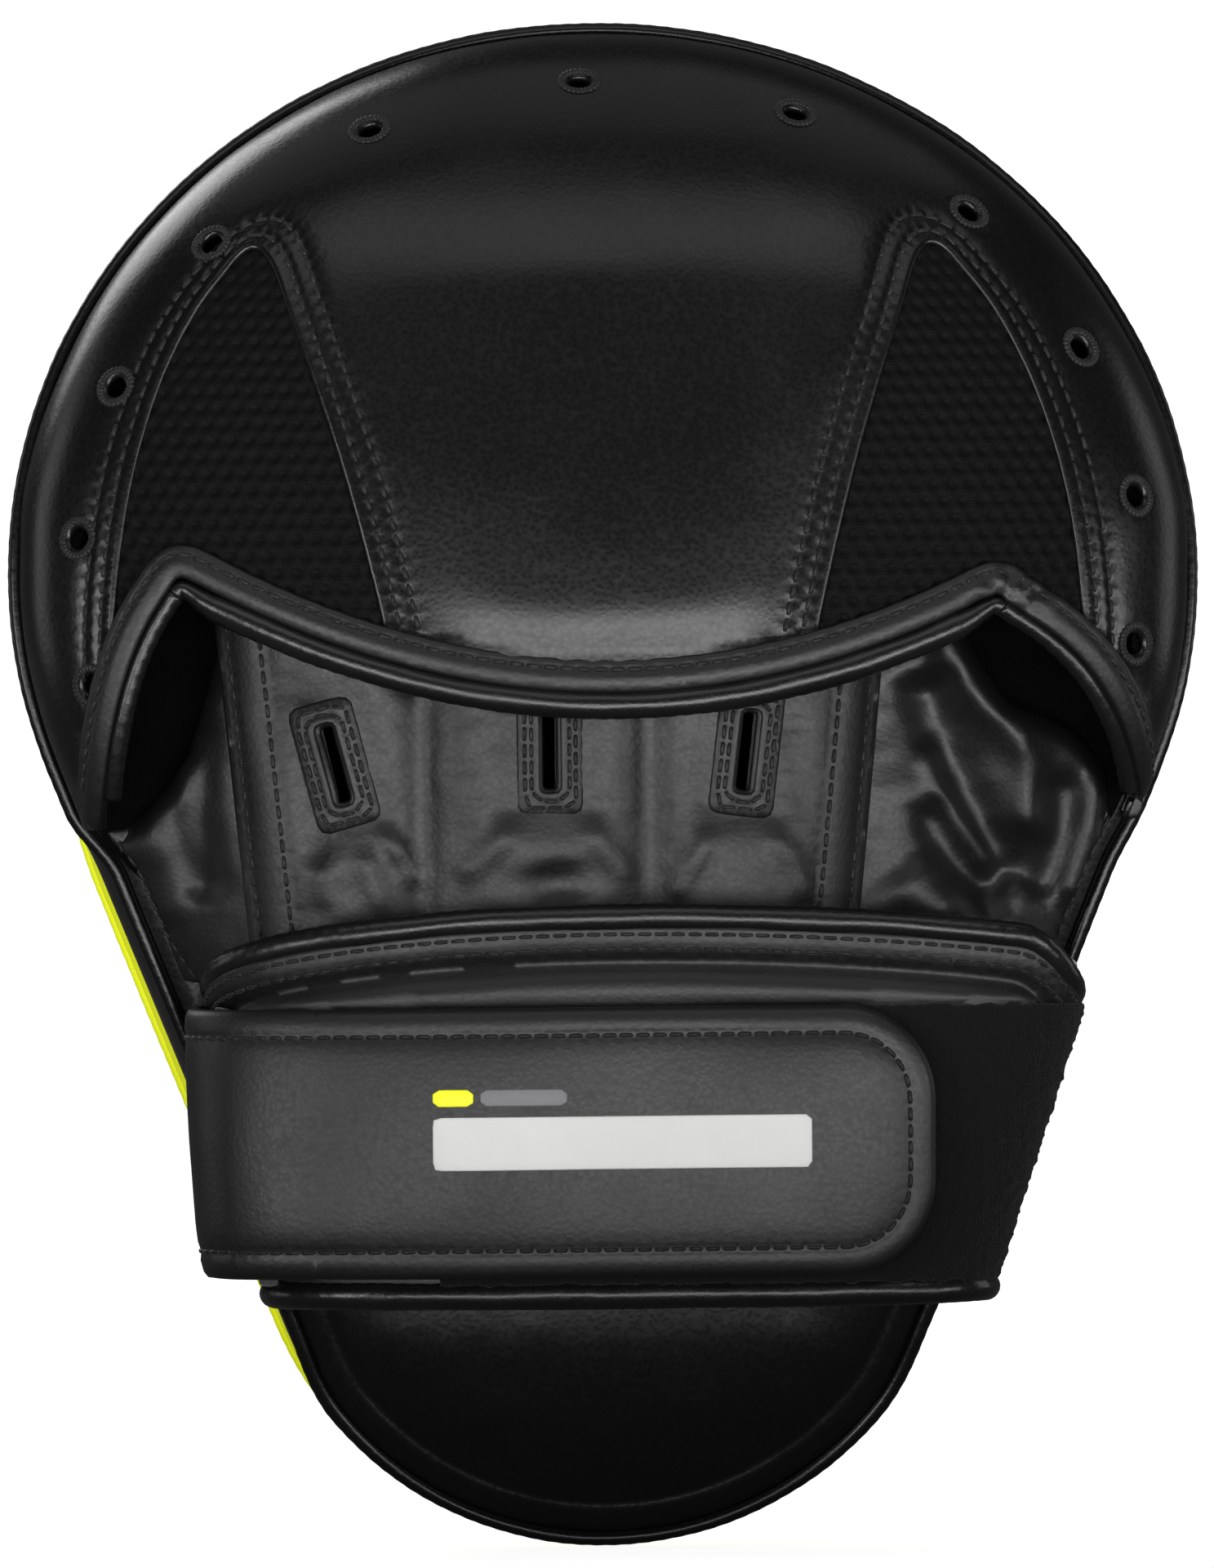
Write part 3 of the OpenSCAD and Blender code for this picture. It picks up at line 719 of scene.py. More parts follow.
def stitches(name, runs, radius=THREAD, lift=0.05):
    """Thread along seams. Each run is a panel and one of its seams."""
    points, faces = [], []
    at = 0
    sides = 6
    turn = np.arange(sides) * 2 * math.pi / sides
    profile = [(-0.5, -0.42, 0.45), (-0.42, -0.1, 0.9), (-0.2, 0.1, 1.0),
               (0.2, 0.1, 1.0), (0.42, -0.1, 0.9), (0.5, -0.42, 0.45)]
    for panel, seam in runs:
        bvh = panel.tree()
        line = panel.surface(seam.line[:, 0], seam.line[:, 1])
        closed = seam.closed
        path = resample(line, STITCH_PITCH, closed)
        if closed:
            path = np.vstack([path, path[:1]])
        for p, q in zip(path, path[1:]):
            centre, normal, _, _ = bvh.find_nearest(Vector((p + q) / 2))
            if centre is None or (centre - Vector((p + q) / 2)).length > 6:
                continue
            centre, normal = np.array(centre), np.array(normal)
            along = q - p
            along -= normal * (along @ normal)
            length = np.linalg.norm(along)
            along /= length + 1e-12
            side = np.cross(normal, along)
            length *= 0.86
            for place, height, width in profile:
                middle = centre + along * place * length + normal * (height * radius * 2 + lift)
                ring = (middle + radius * width * (np.cos(turn)[:, None] * side * 1.15
                                                   + np.sin(turn)[:, None] * normal * 0.9))
                points.append(ring)
            faces += grid_faces(len(profile), sides, start=at, flip=True)
            faces.append(tuple(at + k for k in range(sides))[::-1])
            faces.append(tuple(at + (len(profile) - 1) * sides + k for k in range(sides)))
            at += len(profile) * sides
    return make_object(name, np.vstack(points), faces, thread_material)


def tube(name, path, radius, material, sides, seed, closed=False, up=(0, 1, 0), ripple=0.0, noise=0.0,
         taper=0):
    """A rolled cord along a 3D path. ripple puckers it and noise makes it uneven."""
    path = np.asarray(path, float)
    run = directions(path, closed)
    side = unit(np.cross(run, np.asarray(up, float)))
    top = np.cross(side, run)
    at = run_lengths(path)
    turn = np.arange(sides) * 2 * math.pi / sides
    n = len(path)
    radius = np.broadcast_to(np.asarray(radius, float), n)[:, None]
    r = np.repeat(radius, sides, 1)
    r += ripple * np.cos(2 * math.pi * at / STITCH_PITCH)[:, None] * (0.6 + 0.4 * np.cos(turn - 2.2))[None]
    spots = columns(np.repeat(at[:, None], sides, 1), 3 * radius * np.cos(turn)[None],
                      3 * radius * np.sin(turn)[None]).reshape(-1, 3)
    r += noise * wave_noise(spots, 22, seed).reshape(n, sides)
    if taper and not closed:
        ends = np.minimum(np.arange(n), n - 1 - np.arange(n))
        r *= np.sqrt(1 - np.clip(1 - ends / taper, 0, 1) ** 2 * 0.98)[:, None]
    points = (path[:, None] + r[..., None] * (np.cos(turn)[None, :, None] * side[:, None]
                                              + np.sin(turn)[None, :, None] * top[:, None]))
    points = points.reshape(-1, 3)
    faces = grid_faces(n, sides, wrap=closed)
    if not closed:
        faces.append(tuple(range(sides)))
        faces.append(tuple(range((n - 1) * sides, n * sides))[::-1])
    return make_object(name, points, faces, material)


def smooth_path(points, step, rounds=3):
    """A rounded polyline through control points, by corner cutting."""
    points = np.asarray(points, float)
    for _ in range(rounds):
        cut = [points[:1]]
        for p, q in zip(points, points[1:]):
            cut.append(np.array([0.75 * p + 0.25 * q, 0.25 * p + 0.75 * q]))
        cut.append(points[-1:])
        points = np.vstack(cut)
    return resample(points, step)


def quadratic(a, b, c, t):
    t = np.asarray(t)[:, None]
    return (1 - t) ** 2 * np.array(a) + 2 * t * (1 - t) * np.array(b) + t ** 2 * np.array(c)


def ridge(flat, path, height, width, fade=5.0):
    """A soft fold along a path on a panel: height is negative for a valley."""
    step = 0.5
    line = smooth_path(path, step)
    distance, index = nearest(flat, tree_of(line))
    ends = np.minimum(index, len(line) - 1 - index) * step
    return height * bump(distance, width) * smooth(ends / fade)


def rounded(points, reach=2.0, step=0.5):
    """A polyline with its corners eased over about this reach."""
    line = resample(points, step)
    half = int(3 * reach / step)
    weight = np.exp(-(np.arange(-half, half + 1) * step / reach) ** 2)
    padded = np.vstack([2 * line[0] - line[half:0:-1], line, 2 * line[-1] - line[-2:-half - 2:-1]])
    return np.stack([np.convolve(padded[:, k], weight / weight.sum(), "valid") for k in (0, 1)], -1)


# ---------- Materials ----------


def new_material(name):
    material = bpy.data.materials.new(name)
    material.use_nodes = True
    return material, material.node_tree


def fill(tree, made, settings):
    """Gives a node its settings: a socket is linked, and anything else is a value."""
    for key, value in settings.items():
        if isinstance(value, bpy.types.NodeSocket):
            tree.links.new(value, made.inputs[key])
        elif key in made.inputs:
            made.inputs[key].default_value = value
        else:
            setattr(made, key, value)
    return made


def node(tree, kind, **settings):
    return fill(tree, tree.nodes.new("ShaderNode" + kind), settings)


def surface_look(tree, **inputs):
    """Settings of the main shader. A name's words are joined by _ here."""
    fill(tree, tree.nodes["Principled BSDF"], {key.replace("_", " "): value for key, value in inputs.items()})


def object_place(tree):
    return node(tree, "TexCoord").outputs["Object"]


def noise(tree, where, scale, detail, **settings):
    return node(tree, "TexNoise", Vector=where, Scale=scale, Detail=detail, **settings).outputs


def maths(tree, operation, a, b):
    made = node(tree, "Math", operation=operation)
    for socket, value in zip(made.inputs, (a, b)):
        if isinstance(value, (int, float)):
            socket.default_value = value
        else:
            tree.links.new(value, socket)
    return made.outputs[0]


def ramp(tree, source, low, high, low_value, high_value):
    settings = {"Value": source, "From Min": low, "From Max": high, "To Min": low_value, "To Max": high_value}
    return fill(tree, tree.nodes.new("ShaderNodeMapRange"), settings).outputs["Result"]


def mix_colours(tree, factor, a, b):
    made = node(tree, "Mix", data_type="RGBA")
    tree.links.new(factor, made.inputs["Factor"])
    made.inputs["A"].default_value = (*a, 1)
    made.inputs["B"].default_value = (*b, 1)
    return made.outputs["Result"]


def raised(tree, height, strength, distance):
    return node(tree, "Bump", Strength=strength, Distance=distance, Height=height).outputs["Normal"]


GRAIN_WARP = 0.0009


def leather(name, colour, scuffed, roughness, grain=1150, depth=0.00006, strength=0.5, gloss=0.5, glow=0.0):
    """Pebble-grained synthetic leather: cells, fine creases, uneven gloss and slightly worn colour. glow is
    painted light: the leather gives off light of its own colour.
    """
    material, tree = new_material(name)
    where = object_place(tree)
    warp = noise(tree, where, grain * 0.45, 3.0)
    bend = node(tree, "VectorMath", operation="MULTIPLY_ADD")
    tree.links.new(warp["Color"], bend.inputs[0])
    bend.inputs[1].default_value = (GRAIN_WARP, GRAIN_WARP, GRAIN_WARP)
    tree.links.new(where, bend.inputs[2])
    cells = node(tree, "TexVoronoi", feature="SMOOTH_F1", Vector=bend.outputs[0], Scale=grain,
                 Smoothness=0.35).outputs["Distance"]
    fine = noise(tree, where, grain * 3.2, 3.0, Roughness=0.6)["Fac"]
    creases = noise(tree, where, grain * 0.28, 5.0, Roughness=0.6, Distortion=1.2)["Fac"]
    height = maths(tree, "ADD", maths(tree, "MULTIPLY", cells, -1.0), maths(tree, "MULTIPLY", fine, 0.1))
    height = maths(tree, "ADD", height, maths(tree, "MULTIPLY", creases, 0.35))
    patches = noise(tree, where, 28.0, 4.0, Roughness=0.6)["Fac"]
    worn = ramp(tree, patches, 0.45, 0.75, 0.0, 0.8)
    polish = maths(tree, "ADD", ramp(tree, patches, 0.3, 0.7, roughness + 0.05, roughness - 0.04),
                   maths(tree, "MULTIPLY", cells, 0.12))
    surface_look(tree, Normal=raised(tree, height, strength, depth), Roughness=polish,
                 Base_Color=mix_colours(tree, worn, colour, scuffed), Specular_IOR_Level=gloss,
                 Emission_Color=(*colour, 1), Emission_Strength=glow)
    return material


def textile(name, colour, light, pitch, roughness=0.85, depth=0.00025, sheen=0.3, shine=0.3):
    """A knitted or woven fabric: crossed waves with yarn-to-yarn variation."""
    material, tree = new_material(name)
    where = object_place(tree)
    total = None
    for direction in "XZY":
        wave = node(tree, "TexWave", Vector=where, Scale=pitch / 6.283, Distortion=1.2,
                    bands_direction=direction)
        wave.inputs["Detail Scale"].default_value = 3.0
        total = wave.outputs["Fac"] if total is None else maths(tree, "MULTIPLY", total, wave.outputs["Fac"])
    yarn = noise(tree, where, 1800.0, 3.0)["Fac"]
    height = maths(tree, "ADD", total, maths(tree, "MULTIPLY", yarn, 0.5))
    surface_look(tree, Normal=raised(tree, height, 0.7, depth),
                 Base_Color=mix_colours(tree, yarn, colour, light), Roughness=roughness,
                 Specular_IOR_Level=shine, Sheen_Weight=sheen, Sheen_Roughness=0.4)
    return material


def foam_material(name, colour):
    material, tree = new_material(name)
    pores = node(tree, "TexVoronoi", Vector=object_place(tree), Scale=1500.0).outputs["Distance"]
    # The pits between the pores are painted darker by the same pattern that sinks them: painted shade in the
    # pores.
    dark = tuple(c * 0.7 for c in colour)
    surface_look(tree, Normal=raised(tree, pores, 0.6, 0.0003), Roughness=0.95,
                 Base_Color=mix_colours(tree, pores, dark, colour))
    return material


def grey(value, blue=0.0):
    return value, value, value + blue


black = leather("black_leather", grey(0.0035, 0.0003), grey(0.006, 0.0004), 0.21, strength=0.3, gloss=0.42)
black_soft = leather("black_leather_soft", grey(0.005, 0.0002), grey(0.008, 0.0002), 0.38, grain=1250)
binding_leather = leather("binding_leather", grey(0.005, 0.0002), grey(0.009, 0.0002), 0.22, grain=1400,
                          depth=0.00004, strength=0.4)
# The yellow leather glows a little (glow=0.35). This is painted light that brightens its shaded sides on the
# edge band, the front cord and the printed accent bar.
yellow = leather("yellow_leather_painted_glow", (0.80, 0.87, 0.01), (0.72, 0.80, 0.02), 0.45, depth=0.00012, glow=0.35)
thread_material = textile("thread", grey(0.006, 0.0005), grey(0.014, 0.001), 5000, 0.5, 0.0001, 0.1)
mesh_material = textile("mesh_fabric", grey(0.0018, 0.0002), grey(0.005, 0.0004), 4200, 0.6, 0.00012, 0.03,
                        0.07)
# The knit linings are black, and their colour is made darker still so that the voids under the side openings
# read as deep shade: painted shade on a real black lining.
lining_with_painted_shade = textile("lining_knit", grey(0.0012, 0.0002), grey(0.003, 0.0003), 3600, 0.9, sheen=0.0,
                          shine=0.05)
elastic_material = textile("elastic_knit", grey(0.05, 0.005), grey(0.12, 0.01), 5200, 0.8)
loop_material = textile("loop_pile", grey(0.0018, 0.0002), grey(0.005, 0.0005), 5200, 1.0, 0.0004, 0.06)
hook_material = textile("hook_tape", grey(0.006), grey(0.015, 0.001), 4000, 0.6)
label_material = leather("label", grey(0.78, -0.01), grey(0.7, -0.01), 0.5)
label_grey = leather("label_grey", grey(0.22, 0.01), grey(0.18, 0.01), 0.5)
foam_look = foam_material("foam", (0.62, 0.61, 0.56))
core_look = foam_material("core_foam", grey(0.12, 0.01))


def add_to(obj, body="mitt"):
    """A piece that goes with a CAD node: it rides on the node's body."""
    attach(obj, body)


def stand_for(node_name, obj, body="mitt"):
    """A piece that is shown instead of a CAD node."""
    add_to(obj, body)
    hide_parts(node_name)


# ---------- Pad ----------


def sweep_round(name, profile, material, count=720, follows_back=False):
    """A closed band round the pad. profile lists inset and depth, clockwise round its section.
    If follows_back, it narrows towards the back by drawn_in."""
    points, normals, pulled = pad_edge(count)
    rows = []
    for inset, y in profile:
        if not follows_back:
            reach = np.maximum(-inset, 0) * (0.4 + 0.6 * smooth((-2 - points[:, 1]) / 14))[:, None]
            flat = points + (reach - max(inset, 0)) * normals
        else:
            flat = points - (inset + pull_share(y) * pulled) * normals
        rows.append(bent(flat, y))
    grid = np.stack(rows, 1)
    faces = grid_faces(*grid.shape[:2], wrap=True)
    return make_object(name, grid.reshape(-1, 3), faces, material, smooth_angle=50)


SKIN_CENTRE = np.array([0.0, CROWN_Z - 25])


def back_skin(name, shape, thickness, material, count=480):
    """A leather skin over the pad's back. shape gives its depth from the inset, z and x."""
    points, normals, pulled = pad_edge(count)
    insets = [0, 0.5, 1.1, 1.9, 2.8, 3.6, 4.3, 4.8, 5.3, 5.9, 6.8, 8, 9.6, 11.6, 14, 17, 20]
    rings = [points - (inset + pulled * (1 - inset / 20)) * normals for inset in insets]
    depth_at = list(insets)
    inner = rings[-1]
    steps = 26
    for k in range(1, steps):
        t = k / steps
        rings.append(inner + (SKIN_CENTRE - inner) * t)
        depth_at.append(20 + 60 * t)
    rows = []
    for flat, inset in zip(rings, depth_at):
        rows.append(bent(flat, shape(np.full(len(flat), float(inset)), flat[:, 1], flat[:, 0])))
    middle_y = shape(np.array([80.0]), SKIN_CENTRE[1:], SKIN_CENTRE[:1])
    outer = np.vstack(rows + [bent(SKIN_CENTRE[None], middle_y)])
    tris = [half for a, b, c, d in grid_faces(len(rows), count, flip=True) for half in ((a, b, c), (a, c, d))]
    last, inmost = len(rows) * count, (len(rows) - 1) * count
    tris += [(inmost + i, inmost + (i + 1) % count, last) for i in range(count)]
    tris = np.array(tris)
    if vertex_normals(outer, tris)[:, 1].sum() > 0:
        tris = tris[:, ::-1]
    solid, faces = thicken(outer, tris, thickness, round_steps=3)
    return make_object(name, solid, faces, material, smooth_angle=60)


def edge_fall(inset, drop, reach):
    return drop * np.clip(1 - inset / reach, 0, 1) ** 2


TARGET_Z = 14.0
TARGET_RADII = (21.0, 47.0)


def face_sheet(x, z):
    return columns(-x, sag(z), z)


def striking_face():
    """The dished front: a sewn edge and two sewn target rings on a softly filled leather skin."""
    edge, normals = outline(1200)
    edge = edge * np.array([-1, 1])
    normals = normals * np.array([-1, 1])
    turn = np.linspace(0, 2 * math.pi, 360, endpoint=False)
    rings = [columns(r * np.cos(turn), TARGET_Z + r * np.sin(turn)) for r in TARGET_RADII]
    seams = [Seam(edge - EDGE_SEAM * normals, 0.45, 1.0, closed=True)]
    seams += [Seam(ring, 0.55, 1.2, closed=True) for ring in rings]
    panel = Panel("striking_face_skin", face_sheet, [edge], seams, spacing=2.0)
    inset = nearest(panel.flat, tree_of(edge))[0]
    from_middle = np.hypot(panel.flat[:, 0], panel.flat[:, 1] - TARGET_Z)
    from_ring = np.min([np.abs(from_middle - r) for r in TARGET_RADII], 0)
    fill = (1 - np.exp(-np.clip(inset - EDGE_SEAM, 0, None) / 8)) * (1 - np.exp(-from_ring / 7))
    panel.raise_by(FACE_FILL * fill)
    panel.raise_by(-edge_fall(inset, FACE_EDGE_DROP, EDGE_SEAM) + 0.2 * wave_noise(panel.flat, 55, 11))
    panel.sew()
    stand_for("striking_face", panel.build(black))
    add_to(stitches("striking_face_stitching", [(panel, s) for s in seams]))


striking_face()


def palm_shape(inset, z, x):
    heel = smooth((-78 - z) / 16)
    puff = HEEL_FILL * heel * (1 - np.exp(-np.clip(inset - EDGE_SEAM, 0, None) / 7))
    seam = 0.45 * bump(inset - EDGE_SEAM, 0.8) * smooth((-70 - z) / 10)
    spots = columns(x, z)
    dents = 0.35 * heel * wave_noise(spots, 34, 12)
    return PAD_BACK - puff + edge_fall(inset, 1.2, 4) + seam - dents * np.clip(inset / 8, 0, 1)


stand_for("palm_panel", back_skin("pad_back_skin", palm_shape, LEATHER - 0.2, black))


def pull_share(y):
    """How much of drawn_in the wall and foam follow at this depth: none at the band, all at the back."""
    return smooth((WALL_TOP - y) / (WALL_TOP - PAD_BACK) * 1.4)


def slab(name, layer, node_name, material, count=300, steps=14):
    """One layer of the foam inside the pad, following the drawn-in leather round it."""
    points, normals, pulled = pad_edge(count)
    rows = []
    for y, shares in zip(layer, (np.linspace(0.05, 1, steps), np.linspace(1, 0.05, steps))):
        edge = points - (LAYER_INSET + pull_share(y) * pulled) * normals
        for share in shares:
            rows.append(bent(SKIN_CENTRE + (edge - SKIN_CENTRE) * share, y))
    faces = grid_faces(len(rows), count, flip=True)
    faces.append(tuple(range(count))[::-1])
    faces.append(tuple((len(rows) - 1) * count + i for i in range(count)))
    piece = make_object(name, np.vstack(rows), faces, material, smooth_angle=40)
    stand_for(node_name, piece)


slab("impact_core_foam", CORE_LAYER, "impact_core", core_look)
slab("back_foam_layer", BACK_LAYER, "back_foam", foam_look)


def bulged(front, back, bulge, steps=12):
    """A side wall's section: its outer side bulges and its corners are rounded."""
    outer = []
    for k in range(steps + 1):
        t = k / steps
        inset = -bulge * math.sin(math.pi * t) ** 0.8 + 0.5 * (2 * t - 1) ** 8
        outer.append((inset, front + (back - front) * t))
    return outer + [(LEATHER, back + 0.2), (LEATHER, front - 0.2)]


band = sweep_round("yellow_edge_band", bulged(*BAND_SECTION), yellow)
stand_for("edge_band", band)
wall = sweep_round("black_side_wall", bulged(*WALL_SECTION), black, follows_back=True)
stand_for("side_wall", wall)


def edge_cord(name, y, seed, material, follows_back=False):
    points, normals, pulled = pad_edge(900)
    below = smooth((-2 - points[:, 1]) / 14)[:, None]
    reach = 1.1 - pulled if follows_back else -0.2 + 0.9 * below
    return tube(name, bent(points + reach * normals, y), CORD_RADIUS, material, sides=12, closed=True,
                ripple=0.04, noise=0.08, seed=seed)


stand_for("front_welt", edge_cord("front_edge_cord", -0.9, 3, yellow))
stand_for("back_welt", edge_cord("back_edge_cord", PAD_BACK + 1.0, 4, black, follows_back=True))

# ---------- Hood ----------


def hem_z(x):
    return HEM_LEVEL + HEM_CURVE * np.asarray(x) ** 2


hem_x = np.linspace(HEM_LEFT[0], HEM_RIGHT[0], 80)
hem_line = columns(hem_x, hem_z(hem_x))
left_line = quadratic(LEFT_FOOT, LEFT_BEND, HEM_LEFT, np.linspace(0, 1, 30))
right_line = quadratic(RIGHT_FOOT, RIGHT_BEND, HEM_RIGHT, np.linspace(0, 1, 30))


def leaf(side, grow=0.0):
    """A mesh insert's outline as x and z."""
    turn = np.radians(np.arange(-35, 64, 3))
    outer = columns(45 + 34 * np.cos(turn), 20 + 71 * np.sin(turn))
    tip = np.array([[57.5, 87.2], [54.2, 88.2], [51.5, 85.5]])
    inner = np.array([[49.2, 78], [45.2, 66], [40.8, 52], [36.2, 34], [32.6, 18], [30.6, 2], [30.0, -20]])
    points = np.vstack([outer, tip, inner])
    points = smooth_path(points, 1.0, 2)
    points = shifted(points, grow)
    return columns(side * points[:, 0] + LEAF_SHIFT, points[:, 1])


opening_xz = rounded(np.vstack([left_line, hem_line[1:-1], right_line[::-1]]))
opening_flat = hood_flat(opening_xz)
cover_loop = np.vstack([
    [[0.01, 0.0]], opening_flat, [[HOOD_ACROSS - 0.01, 0.0]],
    [[HOOD_ACROSS - 0.01, HOOD_UP]], [[0.01, HOOD_UP]]])


EYELET_COUNT = 11
EYELET_TURN = 22.6
EYELET_INSET = 8.5
EYELET_HOLE = 2.5


def eyelet_places():
    last = (EYELET_COUNT - 1) // 2
    places = []
    for k in range(-last, last + 1):
        # The vents stand a little closer together down the sides than over the top.
        turn = math.radians(92 + math.copysign(1, k) * (EYELET_TURN * abs(k) - 0.45 * k * k))
        places.append(rim(turn) - EYELET_INSET * np.array([math.cos(turn), math.sin(turn)]))
    return places


def circle_on_hood(x, z, radius, steps=26):
    """A true circle on the hood about a point, in space."""
    flat = hood_flat([[x, z]])
    centre = hood(flat[:, 0], flat[:, 1])[0]
    normal = normals_of(hood, flat[:, 0], flat[:, 1])[0]
    across = np.cross(normal, (0, 0, 1.0))
    across /= np.linalg.norm(across)
    up = np.cross(across, normal)
    turn = np.arange(steps) * 2 * math.pi / steps
    ring = centre + radius * (np.cos(turn)[:, None] * across + np.sin(turn)[:, None] * up)
    return ring, centre, normal, across, up


leaf_flats = {side: hood_flat(leaf(side)) for side in (-1, 1)}
hole_loops = []
for x, z in eyelet_places():
    ring = circle_on_hood(x, z, EYELET_HOLE)[0]
    hole_loops.append(hood_flat(ring[:, [0, 2]]))

LEAF_SEAMS = (1.7, 4.6)
HOOD_FILL = 1.0
HEM_LIFT = 1.0
cover_seams = []


def inside_cover(points, margin=1.5):
    """The part of a flat line that lies on the cover, away from its lower edge."""
    far = gap_to(points, opening_flat, 0.5)
    keep = inside(points, [cover_loop]) & (far > margin)
    index = np.nonzero(keep)[0]
    if not len(index):
        return points[:0]
    runs = np.split(index, np.nonzero(np.diff(index) > 1)[0] + 1)
    return points[max(runs, key=len)]


for side in (-1, 1):
    for distance in LEAF_SEAMS:
        line = inside_cover(shifted(leaf_flats[side], side * distance), 3.0)
        cover_seams.append(Seam(line, depth=0.4, width=1.0))


def from_end(line, point):
    """The line, turned so that it starts at its end nearer this point."""
    turned_round = np.linalg.norm(line[0] - point) > np.linalg.norm(line[-1] - point)
    return line[::-1] if turned_round else line


def cover_with_leaves():
    """The cover's outline with the leaves taken out: each leaf is open at the hem."""
    path = [[0.01, 0.0]]
    line = resample(opening_flat, 0.6)
    spans = []
    for side in (-1, 1):
        hit = inside(line, [np.vstack([leaf_flats[side], leaf_flats[side][:1]])])
        index = np.nonzero(hit)[0]
        spans.append((index[0], index[-1], side))
    at = 0
    below = np.vstack([line, [[HOOD_ACROSS, -40], [0, -40]]])
    for first, last, side in spans:
        path += line[at:first].tolist()
        edge = leaf_flats[side]
        run = edge[~inside(edge, [below])]
        path += from_end(run, line[first]).tolist()
        at = last + 1
    path += line[at:].tolist()
    path += [[HOOD_ACROSS - 0.01, 0.0], [HOOD_ACROSS - 0.01, HOOD_UP], [0.01, HOOD_UP]]
    return np.array(path)


cover = Panel("hood_cover", hood, [cover_with_leaves(), *hole_loops], cover_seams, spacing=1.7)
x, z = cover.points[:, 0], cover.points[:, 2]
leaf_gap = np.min([nearest(cover.flat, tree_of(leaf_flats[side]))[0] for side in (-1, 1)], axis=0)
hem_gap = gap_to(cover.flat, opening_flat, 0.5)
puff = HOOD_FILL * (1 - np.exp(-(np.clip(leaf_gap - LEAF_SEAMS[1], 0, None) / 7) ** 2)) * smooth(hem_gap / 12)
between = smooth((40 - np.abs(x + 2)) / 25)
puff *= 0.35 + 0.65 * between * smooth((100 - z) / 20)
cover.raise_by(puff)
# Towards the hem the cover stands up, and it steps up once more over the hem's seam allowance.
hem_drop = smooth((z - hem_z(np.clip(x, HEM_LEFT[0], HEM_RIGHT[0]))) / 15)
cover.raise_by(HEM_LIFT * (1 - smooth((z - 22) / 56)) * hem_drop * smooth(leaf_gap / 24))
cover.raise_by(0.45 * smooth((5.0 - hem_gap) / 0.8))
# Slow unevenness, as in real leather over foam.
cover.raise_by(0.22 * wave_noise(cover.points, 55, 21) * smooth(hem_gap / 8))
cover.sew()
stand_for("back_cover", cover.build(black))
add_to(stitches("hood_stitching", [(cover, s) for s in cover_seams]))


# A folded leather facing runs along the opening's edge and covers the ends of the mesh.
FACING = 4.4
facing_outer = rounded(shifted(opening_flat, -FACING), 1.0)
facing_seam = Seam(rounded(shifted(opening_flat, -FACING + 1.2), 1.0)[10:-10], depth=0.25, width=0.8)
facing_loop = np.vstack([opening_flat, facing_outer[::-1]])
facing = Panel("opening_facing", hood, [facing_loop], [facing_seam], spacing=0.9, thickness=1.3, depth=-1.15)
from_hem = gap_to(facing.flat, opening_flat, 0.4)
from_top = gap_to(facing.flat, facing_outer, 0.4)
facing.raise_by(0.35 * np.sin(math.pi * np.clip(from_hem / 3.4, 0, 1)) - edge_fall(from_top, 0.25, 0.9))
# Gathers fan out from the corner at the thumb's side.
right_corner = hood_flat([HEM_RIGHT])[0]
from_corner = np.linalg.norm(facing.flat - right_corner, axis=1)
gather = np.arctan2(*(facing.flat - right_corner).T[::-1])
facing.raise_by(0.45 * bump(from_corner, 6.0) * np.cos(9 * gather) * smooth(from_corner / 2))
facing.sew()
stand_for("back_cover", facing.build(black_soft))
add_to(stitches("facing_stitching", [(facing, facing_seam)]))


MESH_PITCH = (3.1, 2.7)


def mesh_insert(side, name):
    grown = hood_flat(leaf(side, 3.0))
    loop = resample(np.vstack([grown, grown[:1]]), 0.8)
    line = resample(opening_flat, 0.6)
    below = np.vstack([shifted(line, -1.2), [[HOOD_ACROSS, -60], [0, -60]]])
    keep = ~inside(loop, [below])
    run = loop[keep]
    start = np.argmax(np.linalg.norm(np.diff(np.vstack([run, run[:1]]), axis=0), axis=1))
    run = np.roll(run, -start - 1, 0)
    hem = shifted(line, -1.2)
    between = hem[(hem[:, 0] > min(run[0][0], run[-1][0])) & (hem[:, 0] < max(run[0][0], run[-1][0]))]
    panel = Panel(name, hood, [np.vstack([run, from_end(between, run[-1])])], spacing=0.62, thickness=0.9,
                  depth=0.75)
    a, b = panel.flat[:, 0], panel.flat[:, 1]
    # Staggered oval holes, 3 mm apart.
    pitch_a, pitch_b = MESH_PITCH
    row = np.round(b / pitch_b)
    shift = (row % 2) * pitch_a / 2
    da = (a - shift) - np.round((a - shift) / pitch_a) * pitch_a
    db = b - row * pitch_b
    hole = np.exp(-((da / 0.85) ** 2 + (db / 0.7) ** 2) ** 1.5)
    panel.raise_by(-0.62 * hole + 0.12 * (1 - hole))
    return panel


for side, node_name in ((-1, "little_finger_mesh"), (1, "thumb_mesh")):
    insert = mesh_insert(side, node_name + "_insert")
    stand_for(node_name, insert.build(mesh_material))


def eyelet_rings():
    points, faces = [], []
    at = 0
    around, sides, threads = 156, 10, 26
    skin = cover.tree()
    for x, z in eyelet_places():
        ring, centre, normal, across, up = circle_on_hood(x, z, EYELET_HOLE + 1.2, 8)
        lift = np.mean([(np.array(skin.find_nearest(Vector(p))[0]) - p) @ normal for p in ring])
        centre = centre + lift * normal
        for i in range(around):
            turn = 2 * math.pi * i / around
            out = math.cos(turn) * across + math.sin(turn) * up
            ripple = 0.09 * math.cos(threads * turn)
            for k in range(sides):
                w = 2 * math.pi * k / sides
                r_out = (0.62 + ripple) * math.cos(w)
                r_up = (0.38 + ripple) * math.sin(w)
                points.append(centre + (EYELET_HOLE + 0.4 + r_out) * out + (0.1 + r_up) * normal)
        faces += grid_faces(around, sides, wrap=True, start=at)
        at += around * sides
    return make_object("vent_eyelet_rings", np.array(points), faces, thread_material)


stand_for("vent_eyelets", eyelet_rings())

